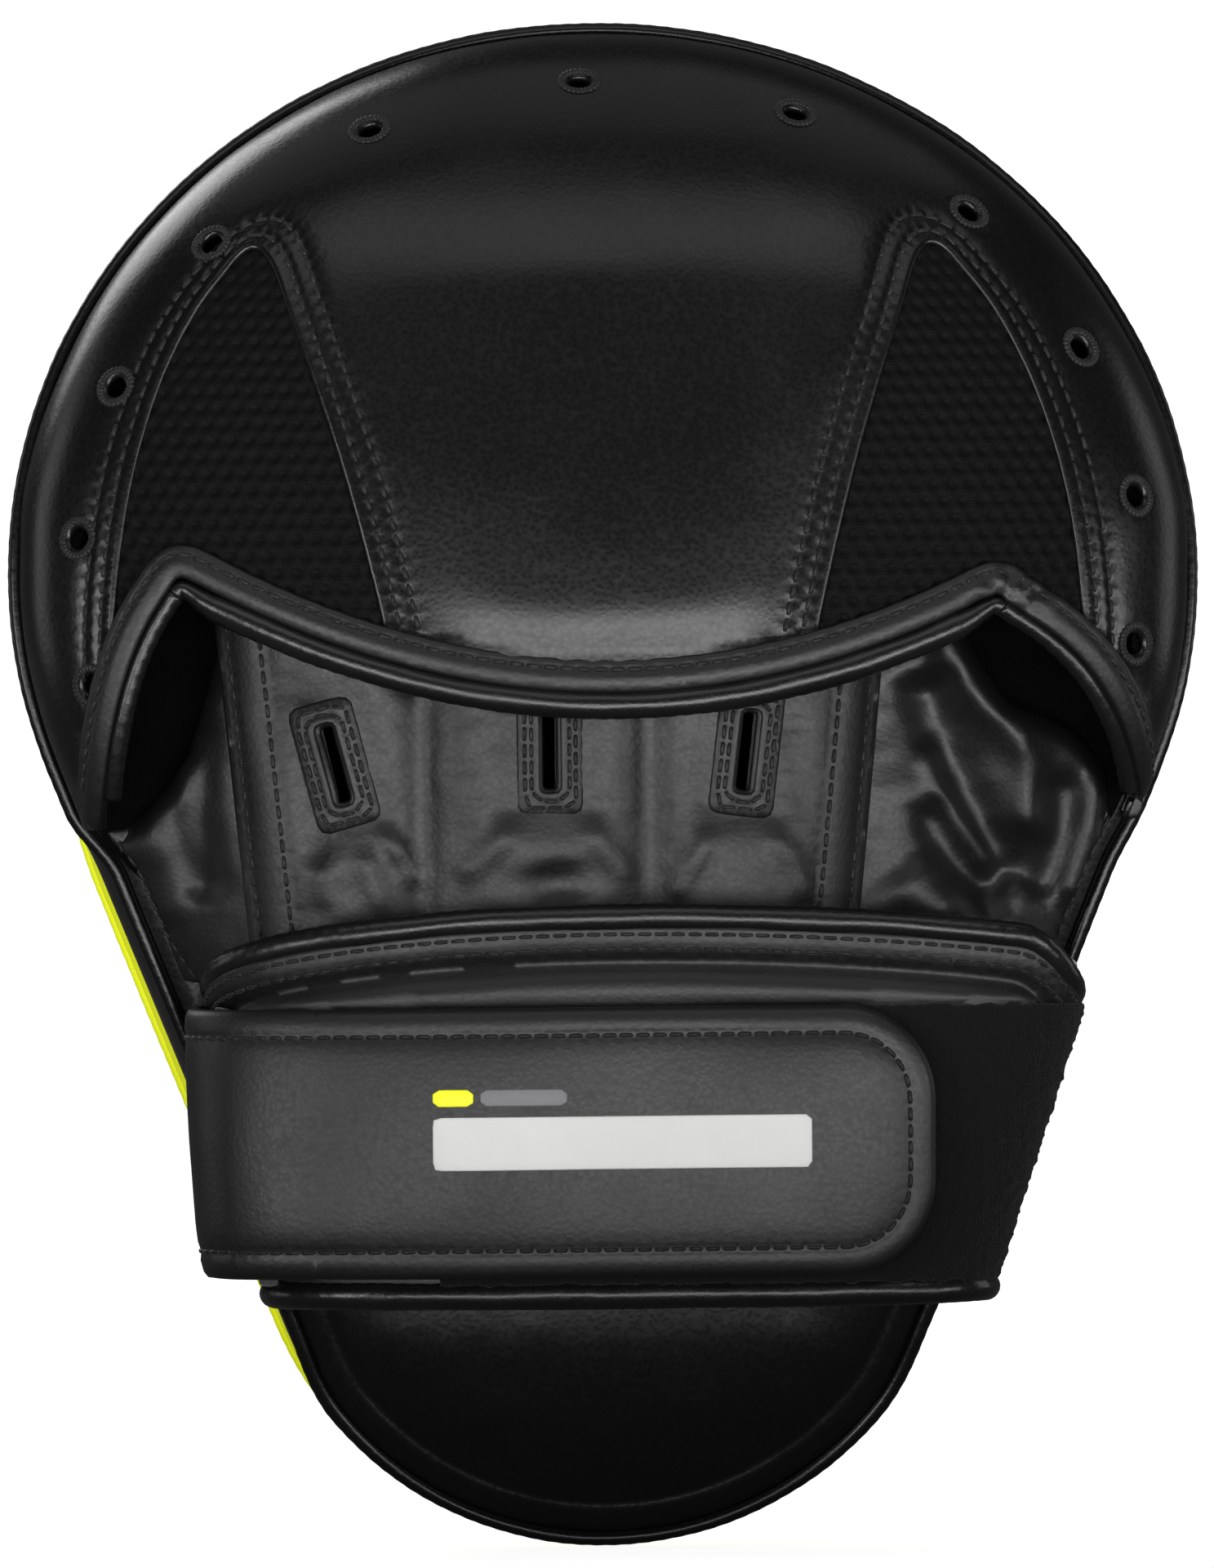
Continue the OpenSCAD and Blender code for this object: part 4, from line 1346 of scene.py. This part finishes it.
lining_loop_xz = np.array([[-78, 22], [-74, 50], [-66, 78], [-46, 96],
                           [46, 96], [66, 78], [74, 50], [76, 20]])
inner_hem = columns(np.linspace(72, -72, 40), hem_z(np.linspace(72, -72, 40)) + 2)
lining_loop = hood_flat(np.vstack([lining_loop_xz, inner_hem]))
hood_lining = Panel("hood_lining_knit", hood, [lining_loop], spacing=3.0, thickness=LINING,
                    depth=LEATHER + FOAM_PLY + 2 * GAP)
stand_for("hood_lining", hood_lining.build(lining_with_painted_shade))


def on_hood(points_xz, outward):
    flat = hood_flat(points_xz)
    base = hood(flat[:, 0], flat[:, 1])
    return base + outward * normals_of(hood, flat[:, 0], flat[:, 1])


BINDING = 2.3
SIDE_BINDING = 1.5
# One rolled edge runs round the opening: thick along the hem and thin up both sides.
roll_line = resample(rounded(opening_xz, 1.0), 0.5)
left_corner_at = int(np.argmin(np.linalg.norm(roll_line - HEM_LEFT, axis=1)))
right_corner_at = int(np.argmin(np.linalg.norm(roll_line - HEM_RIGHT, axis=1)))
place_on_line = np.arange(len(roll_line))
on_hem = (smooth((place_on_line - left_corner_at - 4) / 16)
          * smooth((right_corner_at - 4 - place_on_line) / 16))
roll_radius = SIDE_BINDING + (BINDING - SIDE_BINDING) * on_hem
roll_base = on_hood(roll_line, -0.4)
inward = rounded(roll_line + (roll_radius + 0.1)[:, None] * side_normals(roll_line), 1.2)
inward = np.stack([np.interp(np.linspace(0, 1, len(roll_line)), np.linspace(0, 1, len(inward)), inward[:, k])
                   for k in (0, 1)], -1)
roll_path = columns(inward[:, 0], roll_base[:, 1], inward[:, 1])
for name, node_name, first_at, last_at, seed in (
        ("little_finger_edge_roll", "little_finger_edge_binding", 10, left_corner_at + 1, 32),
        ("hem_roll", "hem_binding", left_corner_at, right_corner_at + 1, 31),
        ("thumb_edge_roll", "thumb_edge_binding", right_corner_at, len(roll_line) - 10, 33)):
    piece = tube(name, roll_path[first_at:last_at], roll_radius[first_at:last_at], binding_leather, sides=24,
                 ripple=0.05, noise=0.12, seed=seed)
    stand_for(node_name, piece)

# ---------- Glove ----------


def rectangle(size, corner, steps=5):
    w, h = size[0] / 2 - corner, size[1] / 2 - corner
    points = []
    for cx, cy, first in ((w, h, 0), (-w, h, 90), (-w, -h, 180), (w, -h, 270)):
        turn = np.radians(first + np.linspace(0, 90, steps))
        points.append(columns(cx + corner * np.cos(turn), cy + corner * np.sin(turn)))
    return np.vstack(points)


def turned(points, spot):
    x, z, lean = spot
    c, s = math.cos(math.radians(lean)), math.sin(math.radians(lean))
    return columns(x + points[:, 0] * c + points[:, 1] * s, z - points[:, 0] * s + points[:, 1] * c)


def glove_side(side, inset):
    z = np.linspace(GLOVE_LOW_Z, GLOVE_TOP_Z, 40)
    return columns(GLOVE_X + side * (glove_half(z) - inset), z)


glove_loop = np.vstack([glove_side(1, 0.2), glove_side(-1, 0.2)[::-1]])
slot_loops = [turned(rectangle(SLOT_SIZE, 1.2), spot) for spot in SLOTS]
strip_seams = [Seam(glove_side(side, inset), depth=0.3, width=0.8)
               for side in (-1, 1) for inset in (1.6, 6.4)]
knuckles = Panel("knuckle_leather", glove, [glove_loop, *slot_loops], strip_seams, spacing=1.5)
flat_x, flat_z = knuckles.flat.T
side_gap = glove_half(flat_z) - np.abs(flat_x - GLOVE_X)
slot_gap = np.full(len(flat_x), np.inf)
in_frame = np.zeros(len(flat_x), bool)
for spot in SLOTS:
    around_slot = turned(rectangle(FRAME_SIZE, 1), spot)
    slot_gap = np.minimum(slot_gap, gap_to(knuckles.flat, around_slot, 0.5, True))
    in_frame |= inside(knuckles.flat, [around_slot])
border = np.zeros(len(flat_x), bool)
border[np.unique(border_of(knuckles.tris))] = True
crease_gap = np.min([np.abs(flat_x - c) for c in CREASES], axis=0)
pins = border | in_frame | (side_gap < 7) | (crease_gap < 0.9)
knuckles.points = relax(knuckles.points, knuckles.tris, pins, pressure=2.5, cap=1.6, bending=2.0,
                        growth=0.006)
# Dents and wrinkles round the slots: a path, a height (below 0 for a valley) and a width.
for path, height, width in (
        ([(-10, -12), (-9, -20)], -1.6, 5.0),
        ([(-48.5, 14), (-49.5, 0), (-47, -14)], -1.0, 2.2),
        ([(-38, -7), (-34, -11), (-31, -17)], 0.9, 1.4),
        ([(-41, -9.5), (-39, -15), (-37, -21)], 0.7, 1.5),
        ([(-45, -9), (-47, -14), (-46, -20)], 0.6, 1.5),
        ([(-16, -6), (-20, -11), (-26, -15)], 0.8, 1.8),
        ([(-5, -6), (-1, -11), (3, -17)], 0.8, 1.8),
        ([(16, -7), (13, -12), (9, -19)], 0.9, 1.6),
        ([(25, -7), (29, -13), (31, -20)], 0.8, 1.6),
        ([(29, 12), (30.5, 2), (31, -8)], -0.5, 2.0)):
    knuckles.raise_by(ridge(knuckles.flat, path, height, width, fade=3.0))
# The slots' frames pull the leather in round them.
FRAME_SINK = 0.9
knuckles.raise_by(-FRAME_SINK * bump(np.where(in_frame, 0, slot_gap), 3.5))
# The side strips lie on top, and the creases between the pads sink in.
knuckles.raise_by(0.5 * smooth((7.2 - side_gap) / 0.7))
knuckles.raise_by(-0.7 * bump(crease_gap, 2.6))
knuckles.raise_by(0.25 * wave_noise(knuckles.points, 26, 41) * smooth(side_gap / 12))
knuckles.sew()
stand_for("knuckle_panel", knuckles.build(black_soft))

frame_runs = []
for number, spot in enumerate(SLOTS):
    outer = turned(rectangle(FRAME_SIZE, 1.4), spot)
    hole = turned(rectangle((SLOT_SIZE[0] + 0.6, SLOT_SIZE[1] + 0.6), 1.4), spot)
    seams = [Seam(turned(rectangle((FRAME_SIZE[0] - 1.9, FRAME_SIZE[1] - 1.9), 1.0), spot), 0.22, 0.6, True),
             Seam(turned(rectangle((SLOT_SIZE[0] + 2.4, SLOT_SIZE[1] + 2.4), 1.5), spot), 0.22, 0.6, True)]
    patch = Panel(f"slot_frame_{number + 1}", glove, [outer, hole], seams, spacing=0.8, thickness=0.9,
                  depth=FRAME_SINK - 0.9)
    lip = gap_to(patch.flat, hole, 0.3, True)
    rim_gap = gap_to(patch.flat, outer, 0.3, True)
    patch.raise_by(0.2 * smooth((1.2 - lip) / 1.0) - 0.5 * smooth((1.1 - rim_gap) / 1.1))
    patch.sew()
    stand_for("slot_frames", patch.build(black_soft))
    frame_runs += [(patch, s) for s in seams]
add_to(stitches("glove_stitching", [(knuckles, s) for s in strip_seams] + frame_runs, 0.3))


def glove_ply(name, inset, **settings):
    """A layer under the knuckle panel, open at the slots."""
    loops = [np.vstack([glove_side(1, inset), glove_side(-1, inset)[::-1]])]
    loops += [turned(rectangle((SLOT_SIZE[0] + 1, SLOT_SIZE[1] + 1), 1.5), spot) for spot in SLOTS]
    return Panel(name, glove, loops, **settings)


padding = glove_ply("knuckle_padding", 2, spacing=2.4, thickness=FOAM_PLY - 1, depth=LEATHER + 2.2)
stand_for("knuckle_pads", padding.build(core_look))
knit = glove_ply("knuckle_lining_knit", 1, spacing=2.6, thickness=LINING, depth=LEATHER + FOAM_PLY + 6 * GAP)
stand_for("knuckle_lining", knit.build(lining_with_painted_shade))


def palm_sheet(x, z):
    return columns(x, PAD_BACK - GAP - LINING + sag(z), z)


# The palm lining reaches out under both side openings, wider than the lining itself, so that its near-black
# knit darkens the voids there: painted shade.
palm_corners = [(0, 86), (56, 86), (84, 50), (86, 6), (82, -8), (62, -26), (37, -78), (0, -80),
                (-37, -78), (-62, -26), (-82, -9), (-87, 4), (-85, 50), (-56, 86), (0, 86)]
palm_loop = smooth_path(palm_corners, 2.0)[:-1]
palm_knit = Panel("palm_lining_knit", palm_sheet, [palm_loop], spacing=3.5, thickness=LINING)
stand_for("palm_lining", palm_knit.build(lining_with_painted_shade))

# ---------- Gussets ----------

GUSSET_LOW_Z = -31.0
WEB_THICKNESS = 1.4
WEB_SINK = 1.9


def web_surface(side, slack):
    """Leather between the knuckle panel's side and the pad's edge, over x and z."""
    def surface(x, z):
        inner_x = GLOVE_X + side * (glove_half(z) - 0.6)
        outer_x = side * (half_width(z) - 2.5 - drawn_in(side, z))
        t = np.clip((x - inner_x) / (outer_x - inner_x), 0, 1)
        inner_y = glove(inner_x, z)[:, 1] + 0.9
        outer_y = PAD_BACK + sag(z) - WEB_SINK
        y = inner_y + (outer_y - inner_y) * t + slack * np.sin(math.pi * t)
        return columns(x, np.minimum(y, outer_y), z)
    return surface


def web_sides(side, top_z):
    inner_z = np.linspace(GUSSET_LOW_Z, top_z, 24)
    outer_z = np.linspace(GUSSET_LOW_Z, -7, 14)
    inner = columns(GLOVE_X + side * (glove_half(inner_z) - 0.6), inner_z)
    outer = columns(side * (half_width(outer_z) - 2.8 - drawn_in(side, outer_z)), outer_z)
    return inner, outer


def web(name, node_name, side, top, top_z, slack, folds, seam_line):
    """A soft side web. top is its free upper edge, from the knuckle panel out to the pad's edge."""
    inner, outer = web_sides(side, top_z)
    upper = rounded(np.vstack([inner[-1:], top, outer[-1:]]), 1.5)
    loop = np.vstack([inner, upper[1:-1], outer[::-1]])
    seam = Seam(smooth_path(seam_line, 0.5), 0.3, 0.9)
    panel = Panel(name, web_surface(side, slack), [loop], [seam], spacing=1.1, thickness=WEB_THICKNESS)
    pins = np.zeros(len(panel.flat), bool)
    pins[np.unique(border_of(panel.tris))] = True
    from_top = gap_to(panel.flat, upper, 0.5)
    panel.points = relax(panel.points, panel.tris, pins, pressure=0.8, cap=1.5, bending=3.0)
    limit = PAD_BACK + sag(panel.points[:, 2]) - WEB_SINK
    lift = np.zeros(len(panel.flat))
    for path, height, width in folds:
        lift += ridge(panel.flat, path, 0.9 * height, 1.4 * width)
    lift += 0.3 * wave_noise(panel.flat, 16, 50 + side) * smooth(from_top / 4)
    panel.points[:, 1] -= lift
    # The free upper edge rolls in towards the pad.
    panel.points[:, 1] += 3.6 * np.clip(1 - from_top / 3.2, 0, 1) ** 2
    panel.points[:, 1] = np.minimum(panel.points[:, 1], limit - 0.1)
    panel.sew()
    stand_for(node_name, panel.build(black_soft))
    return panel, seam


# Each fold is a path over the web, a height (below 0 for a valley) and a width.
thumb_folds = [
    ([(53, 27), (55, 21), (58, 15.5), (62, 11), (66.5, 7), (68.3, 2), (68.3, -5), (67.5, -11)], 3.8, 2.4),
    ([(64, 6), (69, 6)], 1.3, 3.0),
    ([(50, 19), (53, 8), (56, 0), (61, -10), (65, -19)], -5.2, 3.2),
    ([(50, 8), (52.5, 1), (55.5, -5), (59, -10), (63, -17)], 2.8, 1.5),
    ([(50, -2), (53, -10), (58, -16), (65, -22)], -3.4, 2.2),
    ([(46, -13), (50, -18), (57, -24)], 2.2, 3.4),
    ([(62, -22), (67, -25), (72, -29)], 1.6, 1.6),
    ([(73, 3), (73.5, -6), (71.5, -14), (69, -21)], -3.2, 2.6),
    ([(81, 3), (79.5, -5), (76.5, -14), (73.5, -22)], 3.0, 2.1),
]
finger_folds = [
    ([(-64.5, 14), (-66, 3), (-66.5, -8), (-64, -20)], -2.4, 2.0),
    ([(-70, 4), (-71.5, -3), (-69, -11), (-66, -20)], -1.6, 1.6),
    ([(-77, -6), (-75, -14), (-71, -24)], 1.2, 3.5),
]
web_runs = [
    web("little_finger_web", "little_finger_gusset", -1,
        [(-65.5, 13), (-68, 5), (-73, -2), (-79, -7.5)], 24.0, -0.8, finger_folds,
        [(-81, -9.5), (-76, -17), (-71, -25), (-67, -31)]),
    web("thumb_web", "thumb_gusset", 1,
        [(52, 28), (57, 25), (61, 17.5), (65, 12), (70, 10.5), (76, 7.5), (81, 2)], 30.0, -3.0, thumb_folds,
        [(82.5, -6), (79.5, -13), (76.5, -21), (74, -29)])]
add_to(stitches("web_stitching", web_runs, 0.3))

# ---------- Cuff ----------

cuff_ends = (0.5, CUFF_ACROSS - 0.5)


def cuff_top_line(drop, first=cuff_ends[0], last=cuff_ends[1], count=160):
    a = np.linspace(first, last, count)
    return columns(a, cuff_crest(np.interp(a, cuff_a, cuff_t)) - drop)


bottom_a = np.linspace(cuff_ends[1], cuff_ends[0], 60)
cuff_loop = np.vstack([cuff_top_line(0.0), columns(bottom_a, np.full(60, CUFF_LOW))])
seam_a = np.linspace(8, CUFF_ACROSS - 8, 60)
cuff_seams = [Seam(cuff_top_line(0.6, 8, CUFF_ACROSS - 8), 0.25, 0.8),
              Seam(cuff_top_line(2.9, 8, CUFF_ACROSS - 8), 0.3, 0.8),
              Seam(columns(seam_a, np.full(60, CUFF_LOW + 2.2)), 0.3, 0.8)]
TAPE_WIDTH = 4.0
GROOVE = 5.2
groove_rows = [resample(cuff_top_line(d), 0.8) for d in (TAPE_WIDTH, 4.6, GROOVE, 5.8, 6.4, 7.2, 8.2)]
wrist = Panel("cuff_leather", cuff, [cuff_loop], cuff_seams, spacing=1.6, guides=groove_rows)
drop = cuff_crest(np.interp(wrist.flat[:, 0], cuff_a, cuff_t)) - wrist.flat[:, 1]
# From the top edge down: a raised tape, a groove under it and a padded band down to the loop field.
wrist.raise_by(0.8 * np.clip(1 - drop / TAPE_WIDTH, 0, 1) ** 0.4)
wrist.raise_by(-1.2 * bump(drop - GROOVE, 1.2))
FIELD_TOP = STRAP_HIGH + 0.4
wrist.raise_by(1.2 * bump(drop - 9.6, 2.4) * smooth((wrist.flat[:, 1] - FIELD_TOP) / 1.5))
wrist.raise_by(0.3 * wave_noise(wrist.points, 24, 61) * smooth((15 - drop) / 4))
wrist.sew()
stand_for("cuff_shell", wrist.build(black_soft))
add_to(stitches("cuff_stitching", [(wrist, s) for s in cuff_seams], 0.3))


def cuff_roll(name, line, offset, node_name, seed):
    base = cuff(line[:, 0], line[:, 1]) - 0.9 * normals_of(cuff, line[:, 0], line[:, 1])
    path = resample(base + np.array([0, 0, offset]), 0.6)
    piece = tube(name, path, BINDING, binding_leather, sides=22, up=(0, 0, 1), ripple=0.06, noise=0.14,
                 seed=seed, taper=5)
    stand_for(node_name, piece)


cuff_roll("cuff_upper_roll", cuff_top_line(0.0, 3, CUFF_ACROSS - 3), BINDING - 0.3, "cuff_upper_binding", 62)
low_a = np.linspace(4, CUFF_ACROSS - 4, 160)
low_line = columns(low_a, np.full(160, CUFF_LOW))
cuff_roll("cuff_lower_roll", low_line, 0.3 - BINDING, "cuff_lower_binding", 63)

knit_top = cuff_top_line(1.5, 22, CUFF_ACROSS - 22)
knit_low = columns(knit_top[::-1, 0], np.full(len(knit_top), CUFF_LOW + 1.5))
cuff_knit = Panel("cuff_lining_knit", cuff, [np.vstack([knit_top, knit_low])], spacing=3.0, thickness=LINING,
                  depth=LEATHER + FOAM_PLY + 2 * GAP)
stand_for("cuff_lining", cuff_knit.build(lining_with_painted_shade))

loop_low, _ = extent("loop_field")
first = float(np.interp(-30, cuff_line[:, 0], cuff_a))
last = float(np.interp(math.radians(168), cuff_t, cuff_a))
field_loop = np.array([[first, loop_low[2]], [last, loop_low[2]], [last, FIELD_TOP], [first, FIELD_TOP]])
field = Panel("loop_pile_field", cuff, [field_loop], spacing=0.8, thickness=FASTENER, depth=-FASTENER - 0.05)
# The pile stands up by a different amount at every point.
field.raise_by(0.16 * rng.normal(size=len(field.points)))
stand_for("loop_field", field.build(loop_material))

web_low, web_high = extent("elastic_web")
RIB_PITCH = 1.5
web_ends = [float(np.interp(math.radians(turn), cuff_t, cuff_a)) for turn in (20, 33)]
web_top = web_high[2] - 2.2
web_loop = np.array([[web_ends[0], web_low[2]], [web_ends[1], web_low[2]],
                     [web_ends[1], web_top - 1.2], [web_ends[0], web_top]])
elastic = Panel("elastic_web_knit", cuff, [web_loop], spacing=0.7, thickness=1.0, depth=-1.25)
elastic.raise_by(0.14 * np.cos(2 * math.pi * elastic.flat[:, 1] / RIB_PITCH))
stand_for("elastic_web", elastic.build(elastic_material))

# ---------- Strap ----------

SPLIT_X = (ROOT_X + PEEL_X) / 2
split = strap_place(SPLIT_X)
tip = strap_place(STRAP_TIP_X)


def strap_outline(first, last_inset, round_tip):
    """The strap's outline in its flat coordinates, from first to the split or the round tip."""
    low, high = STRAP_LOW + last_inset, STRAP_HIGH - last_inset
    if not round_tip:
        return np.array([[first, low], [split, low], [split, high], [first, high]])
    corner = TIP_RADIUS - last_inset
    end = tip - TIP_RADIUS
    turn = np.radians(np.linspace(-90, 0, 16))
    lower = columns(end + corner * np.cos(turn), STRAP_LOW + TIP_RADIUS + corner * np.sin(turn))
    upper = columns(lower[::-1, 0], STRAP_HIGH - (lower[::-1, 1] - STRAP_LOW))
    return np.vstack([[[first, low]], lower, upper, [[first, high]]])


SEAM_INSET = 3.3
STRAP_FILL = 0.9
edge_rows = [np.array([[1.0, STRAP_LOW + SEAM_INSET], [split - 0.05, STRAP_LOW + SEAM_INSET]]),
             np.array([[1.0, STRAP_HIGH - SEAM_INSET], [split - 0.05, STRAP_HIGH - SEAM_INSET]])]
side_seams = [Seam(row, 0.3, 0.9) for row in edge_rows]
tab_line = strap_outline(split + 0.05, SEAM_INSET, True)
tab_seam = Seam(tab_line, 0.3, 0.9)


def strap_shape(panel):
    """The padded look of the strap: full in the middle and thin at its stitched edge."""
    s, z = panel.flat.T
    ends = np.minimum(z - STRAP_LOW, STRAP_HIGH - z)
    from_level = np.abs(z - STRAP_LEVEL) - (STRAP_HIGH - STRAP_LOW) / 2
    corner = np.hypot(np.clip(s - (tip - TIP_RADIUS), 0, None), np.clip(from_level + TIP_RADIUS, 0, None))
    ends = np.minimum(ends, np.where(s > tip - TIP_RADIUS, TIP_RADIUS - corner, 99))
    ends = np.minimum(ends, np.where(s > tip - TIP_RADIUS, tip - s, 99))
    panel.raise_by(STRAP_FILL * (1 - np.exp(-np.clip(ends - SEAM_INSET, 0, None) / 5)))
    panel.raise_by(0.45 * wave_noise(panel.points, 70, 83) * smooth(ends / 6))
    panel.raise_by(-edge_fall(ends, 0.4, 1.6))
    panel.sew()


side_part = Panel("strap_side", strap, [strap_outline(0.6, 0.0, False)], side_seams, spacing=1.6,
                  thickness=STRAP_LEATHER)
strap_shape(side_part)
at_split = side_part.flat[:, 0] > split - 0.02
side_piece = side_part.build(black_soft, flat_edge=at_split)
tab_part = Panel("strap_face", strap, [strap_outline(split, 0.0, True)], [tab_seam], spacing=1.6,
                 thickness=STRAP_LEATHER)
strap_shape(tab_part)
at_split = tab_part.flat[:, 0] < split + 0.02
tab_piece = tab_part.build(black_soft, flat_edge=at_split)

side_thread = stitches("strap_side_stitching", [(side_part, s) for s in side_seams])
tab_thread = stitches("strap_face_stitching", [(tab_part, tab_seam)])
BLEND_REACH = 7.0
# The strap's foot turns in under the cuff. Its pieces and their thread are baked where they stand.
for piece in (side_piece, side_thread):
    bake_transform(piece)
for piece in (tab_piece, tab_thread):
    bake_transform(piece)
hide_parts("strap_anchor", "strap_root")
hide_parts("strap_tab", "strap_lining")

patch_outline = strap_outline(strap_place(PEEL_X + BLEND_REACH + 1), 4.0, True)
hooks = Panel("hook_tape_patch", strap, [patch_outline], spacing=1.0, thickness=FASTENER, depth=STRAP_LEATHER)
stand_for("hook_patch", hooks.build(hook_material), "strap_tab")

label_low, label_high = extent("blank_label")
on_tab = tab_part.tree()


def printed(name, low_x, high_x, low_z, high_z, material):
    """A plain printed bar that follows the strap's face."""
    centre = np.array([(low_x + high_x) / 2, (low_z + high_z) / 2])
    size = (high_x - low_x, high_z - low_z)
    outline_xz = centre + rectangle(size, 0.6)
    loop = columns(strap_place(outline_xz[:, 0]), outline_xz[:, 1])
    panel = Panel(name, strap, [loop], spacing=1.2, thickness=0.5)
    touch = np.array([np.array(on_tab.find_nearest(Vector(p))[0]) for p in panel.points])
    panel.points = touch + 0.22 * panel.normals
    stand_for("blank_label", panel.build(material), "strap_tab")


accent_low, accent_high = label_high[2] + 2.2, label_high[2] + 4.4
printed("plain_bar", label_low[0], label_high[0], label_low[2], label_high[2], label_material)
printed("accent_bar", label_low[0], label_low[0] + 6, accent_low, accent_high, yellow)
printed("accent_line", label_low[0] + 7.5, label_low[0] + 21, accent_low, accent_high, label_grey)

# ---------- Carried-over foam ----------

for name, look in (("face_foam", foam_look), ("hood_foam", foam_look), ("cuff_foam", foam_look)):
    obj = frame["nodes"][name]
    obj.data.materials.clear()
    obj.data.materials.append(look)

# ---------- Stage ----------

FLOOR_Z = -PAD_TOP - 3.0


def paper():
    """Pale studio paper: bright to the camera and dimmer in reflections."""
    material, tree = new_material("studio_paper")
    fibre = noise(tree, object_place(tree), 400.0, 2.0)["Fac"]
    seen = node(tree, "LightPath").outputs["Is Camera Ray"]
    surface_look(tree, Normal=raised(tree, fibre, 0.1, 0.0002), Roughness=0.9, Emission_Color=(1, 1, 1, 1),
                 Base_Color=mix_colours(tree, seen, grey(0.05), grey(0.5)),
                 Emission_Strength=ramp(tree, seen, 0, 1, 0.03, 0.92))
    return material


def studio():
    """A pale floor that sweeps up into a backdrop. It ends in front, where the main light comes from."""
    half, front, back, tall, bend = 5000.0, -450.0, 3200.0, 4000.0, 900.0
    profile = [(front, 0.0), (back, 0.0)]
    for turn in np.linspace(0.1, math.pi / 2, 12):
        profile.append((back + bend * math.sin(turn), bend - bend * math.cos(turn)))
    profile += [(back + bend, tall)]
    points, faces = [], []
    for y, z in profile:
        points += [(-half, y, FLOOR_Z + z), (half, y, FLOOR_Z + z)]
    for k in range(len(profile) - 1):
        faces.append((2 * k, 2 * k + 1, 2 * k + 3, 2 * k + 2))
    look = paper()
    make_object("studio_floor", np.array(points), faces, look)
    edge = [(-half, front, FLOOR_Z), (half, front, FLOOR_Z), (half, -half, FLOOR_Z), (-half, -half, FLOOR_Z)]
    apron = make_object("studio_floor_front", np.array(edge), [(3, 2, 1, 0)], look)
    apron.visible_shadow = apron.visible_diffuse = apron.visible_glossy = False


PAD_MIDDLE = (0, 0, 0)


def softbox(name, position, target, size, energy):
    light = bpy.data.lights.new(name, "AREA")
    light.shape = "RECTANGLE"
    light.size, light.size_y = size
    light.energy = energy
    obj = add_object(name, light)
    obj.location = position
    obj.rotation_euler = (Vector(target) - Vector(position)).to_track_quat("-Z", "Y").to_euler()
    obj.visible_camera = False


studio()
for light in (
        ("front", (0.15, -2.3, -0.42), PAD_MIDDLE, (2.9, 1.1), 66),
        ("front_left", (-1.75, -1.6, 0.0), PAD_MIDDLE, (0.8, 0.8), 14),
        ("front_right", (1.9, -1.5, -0.05), PAD_MIDDLE, (0.8, 0.8), 11),
        ("upper", (0, -0.8, 1.15), PAD_MIDDLE, (1.5, 0.7), 3.2),
        ("overhead", (0, 0.35, 1.5), PAD_MIDDLE, (2.0, 0.9), 1.6),
        ("left_strip", (-1.4, 0.4, 0.1), PAD_MIDDLE, (0.5, 1.4), 2.4),
        ("right_strip", (1.4, 0.4, 0.1), PAD_MIDDLE, (0.5, 1.4), 2.2),
        ("rear", (-0.9, 1.5, 1.1), PAD_MIDDLE, (1.2, 0.9), 9),
        ("backdrop", (0, 1.0, 1.6), (0, 3.0, 1.1), (2.0, 0.8), 30)):
    softbox(*light)


def studio_world():
    """White to the camera and nearly dark in reflections."""
    world = bpy.data.worlds.new("studio_world")
    world.use_nodes = True
    tree = world.node_tree
    seen = node(tree, "LightPath").outputs["Is Camera Ray"]
    glow = ramp(tree, seen, 0, 1, 0.02, 1.0)
    fill(tree, tree.nodes["Background"], {"Color": (1, 1, 1, 1), "Strength": glow})
    bpy.context.scene.world = world


studio_world()

CAMERA_AZIMUTH = math.radians(-2.8)
CAMERA_ROLL = math.radians(-0.6)
CAMERA_DISTANCE = 2.6
FRAME_HEIGHT = 0.2544
SENSOR = 36.0
camera_data = bpy.data.cameras.new("camera")
camera = add_object("camera", camera_data)
aim = Vector((0.0, -0.03, 0.0))
camera.location = aim + CAMERA_DISTANCE * Vector((math.sin(CAMERA_AZIMUTH), -math.cos(CAMERA_AZIMUTH), 0.0))
look_at = (aim - camera.location).to_track_quat("-Z", "Y")
camera.rotation_euler = (look_at @ Quaternion((0, 0, 1), CAMERA_ROLL)).to_euler()
camera_data.sensor_fit = "VERTICAL"
camera_data.sensor_height = SENSOR
camera_data.lens = SENSOR * CAMERA_DISTANCE / FRAME_HEIGHT
camera_data.clip_end = 20
bpy.context.scene.camera = camera
bpy.context.scene.view_settings.view_transform = "Standard"
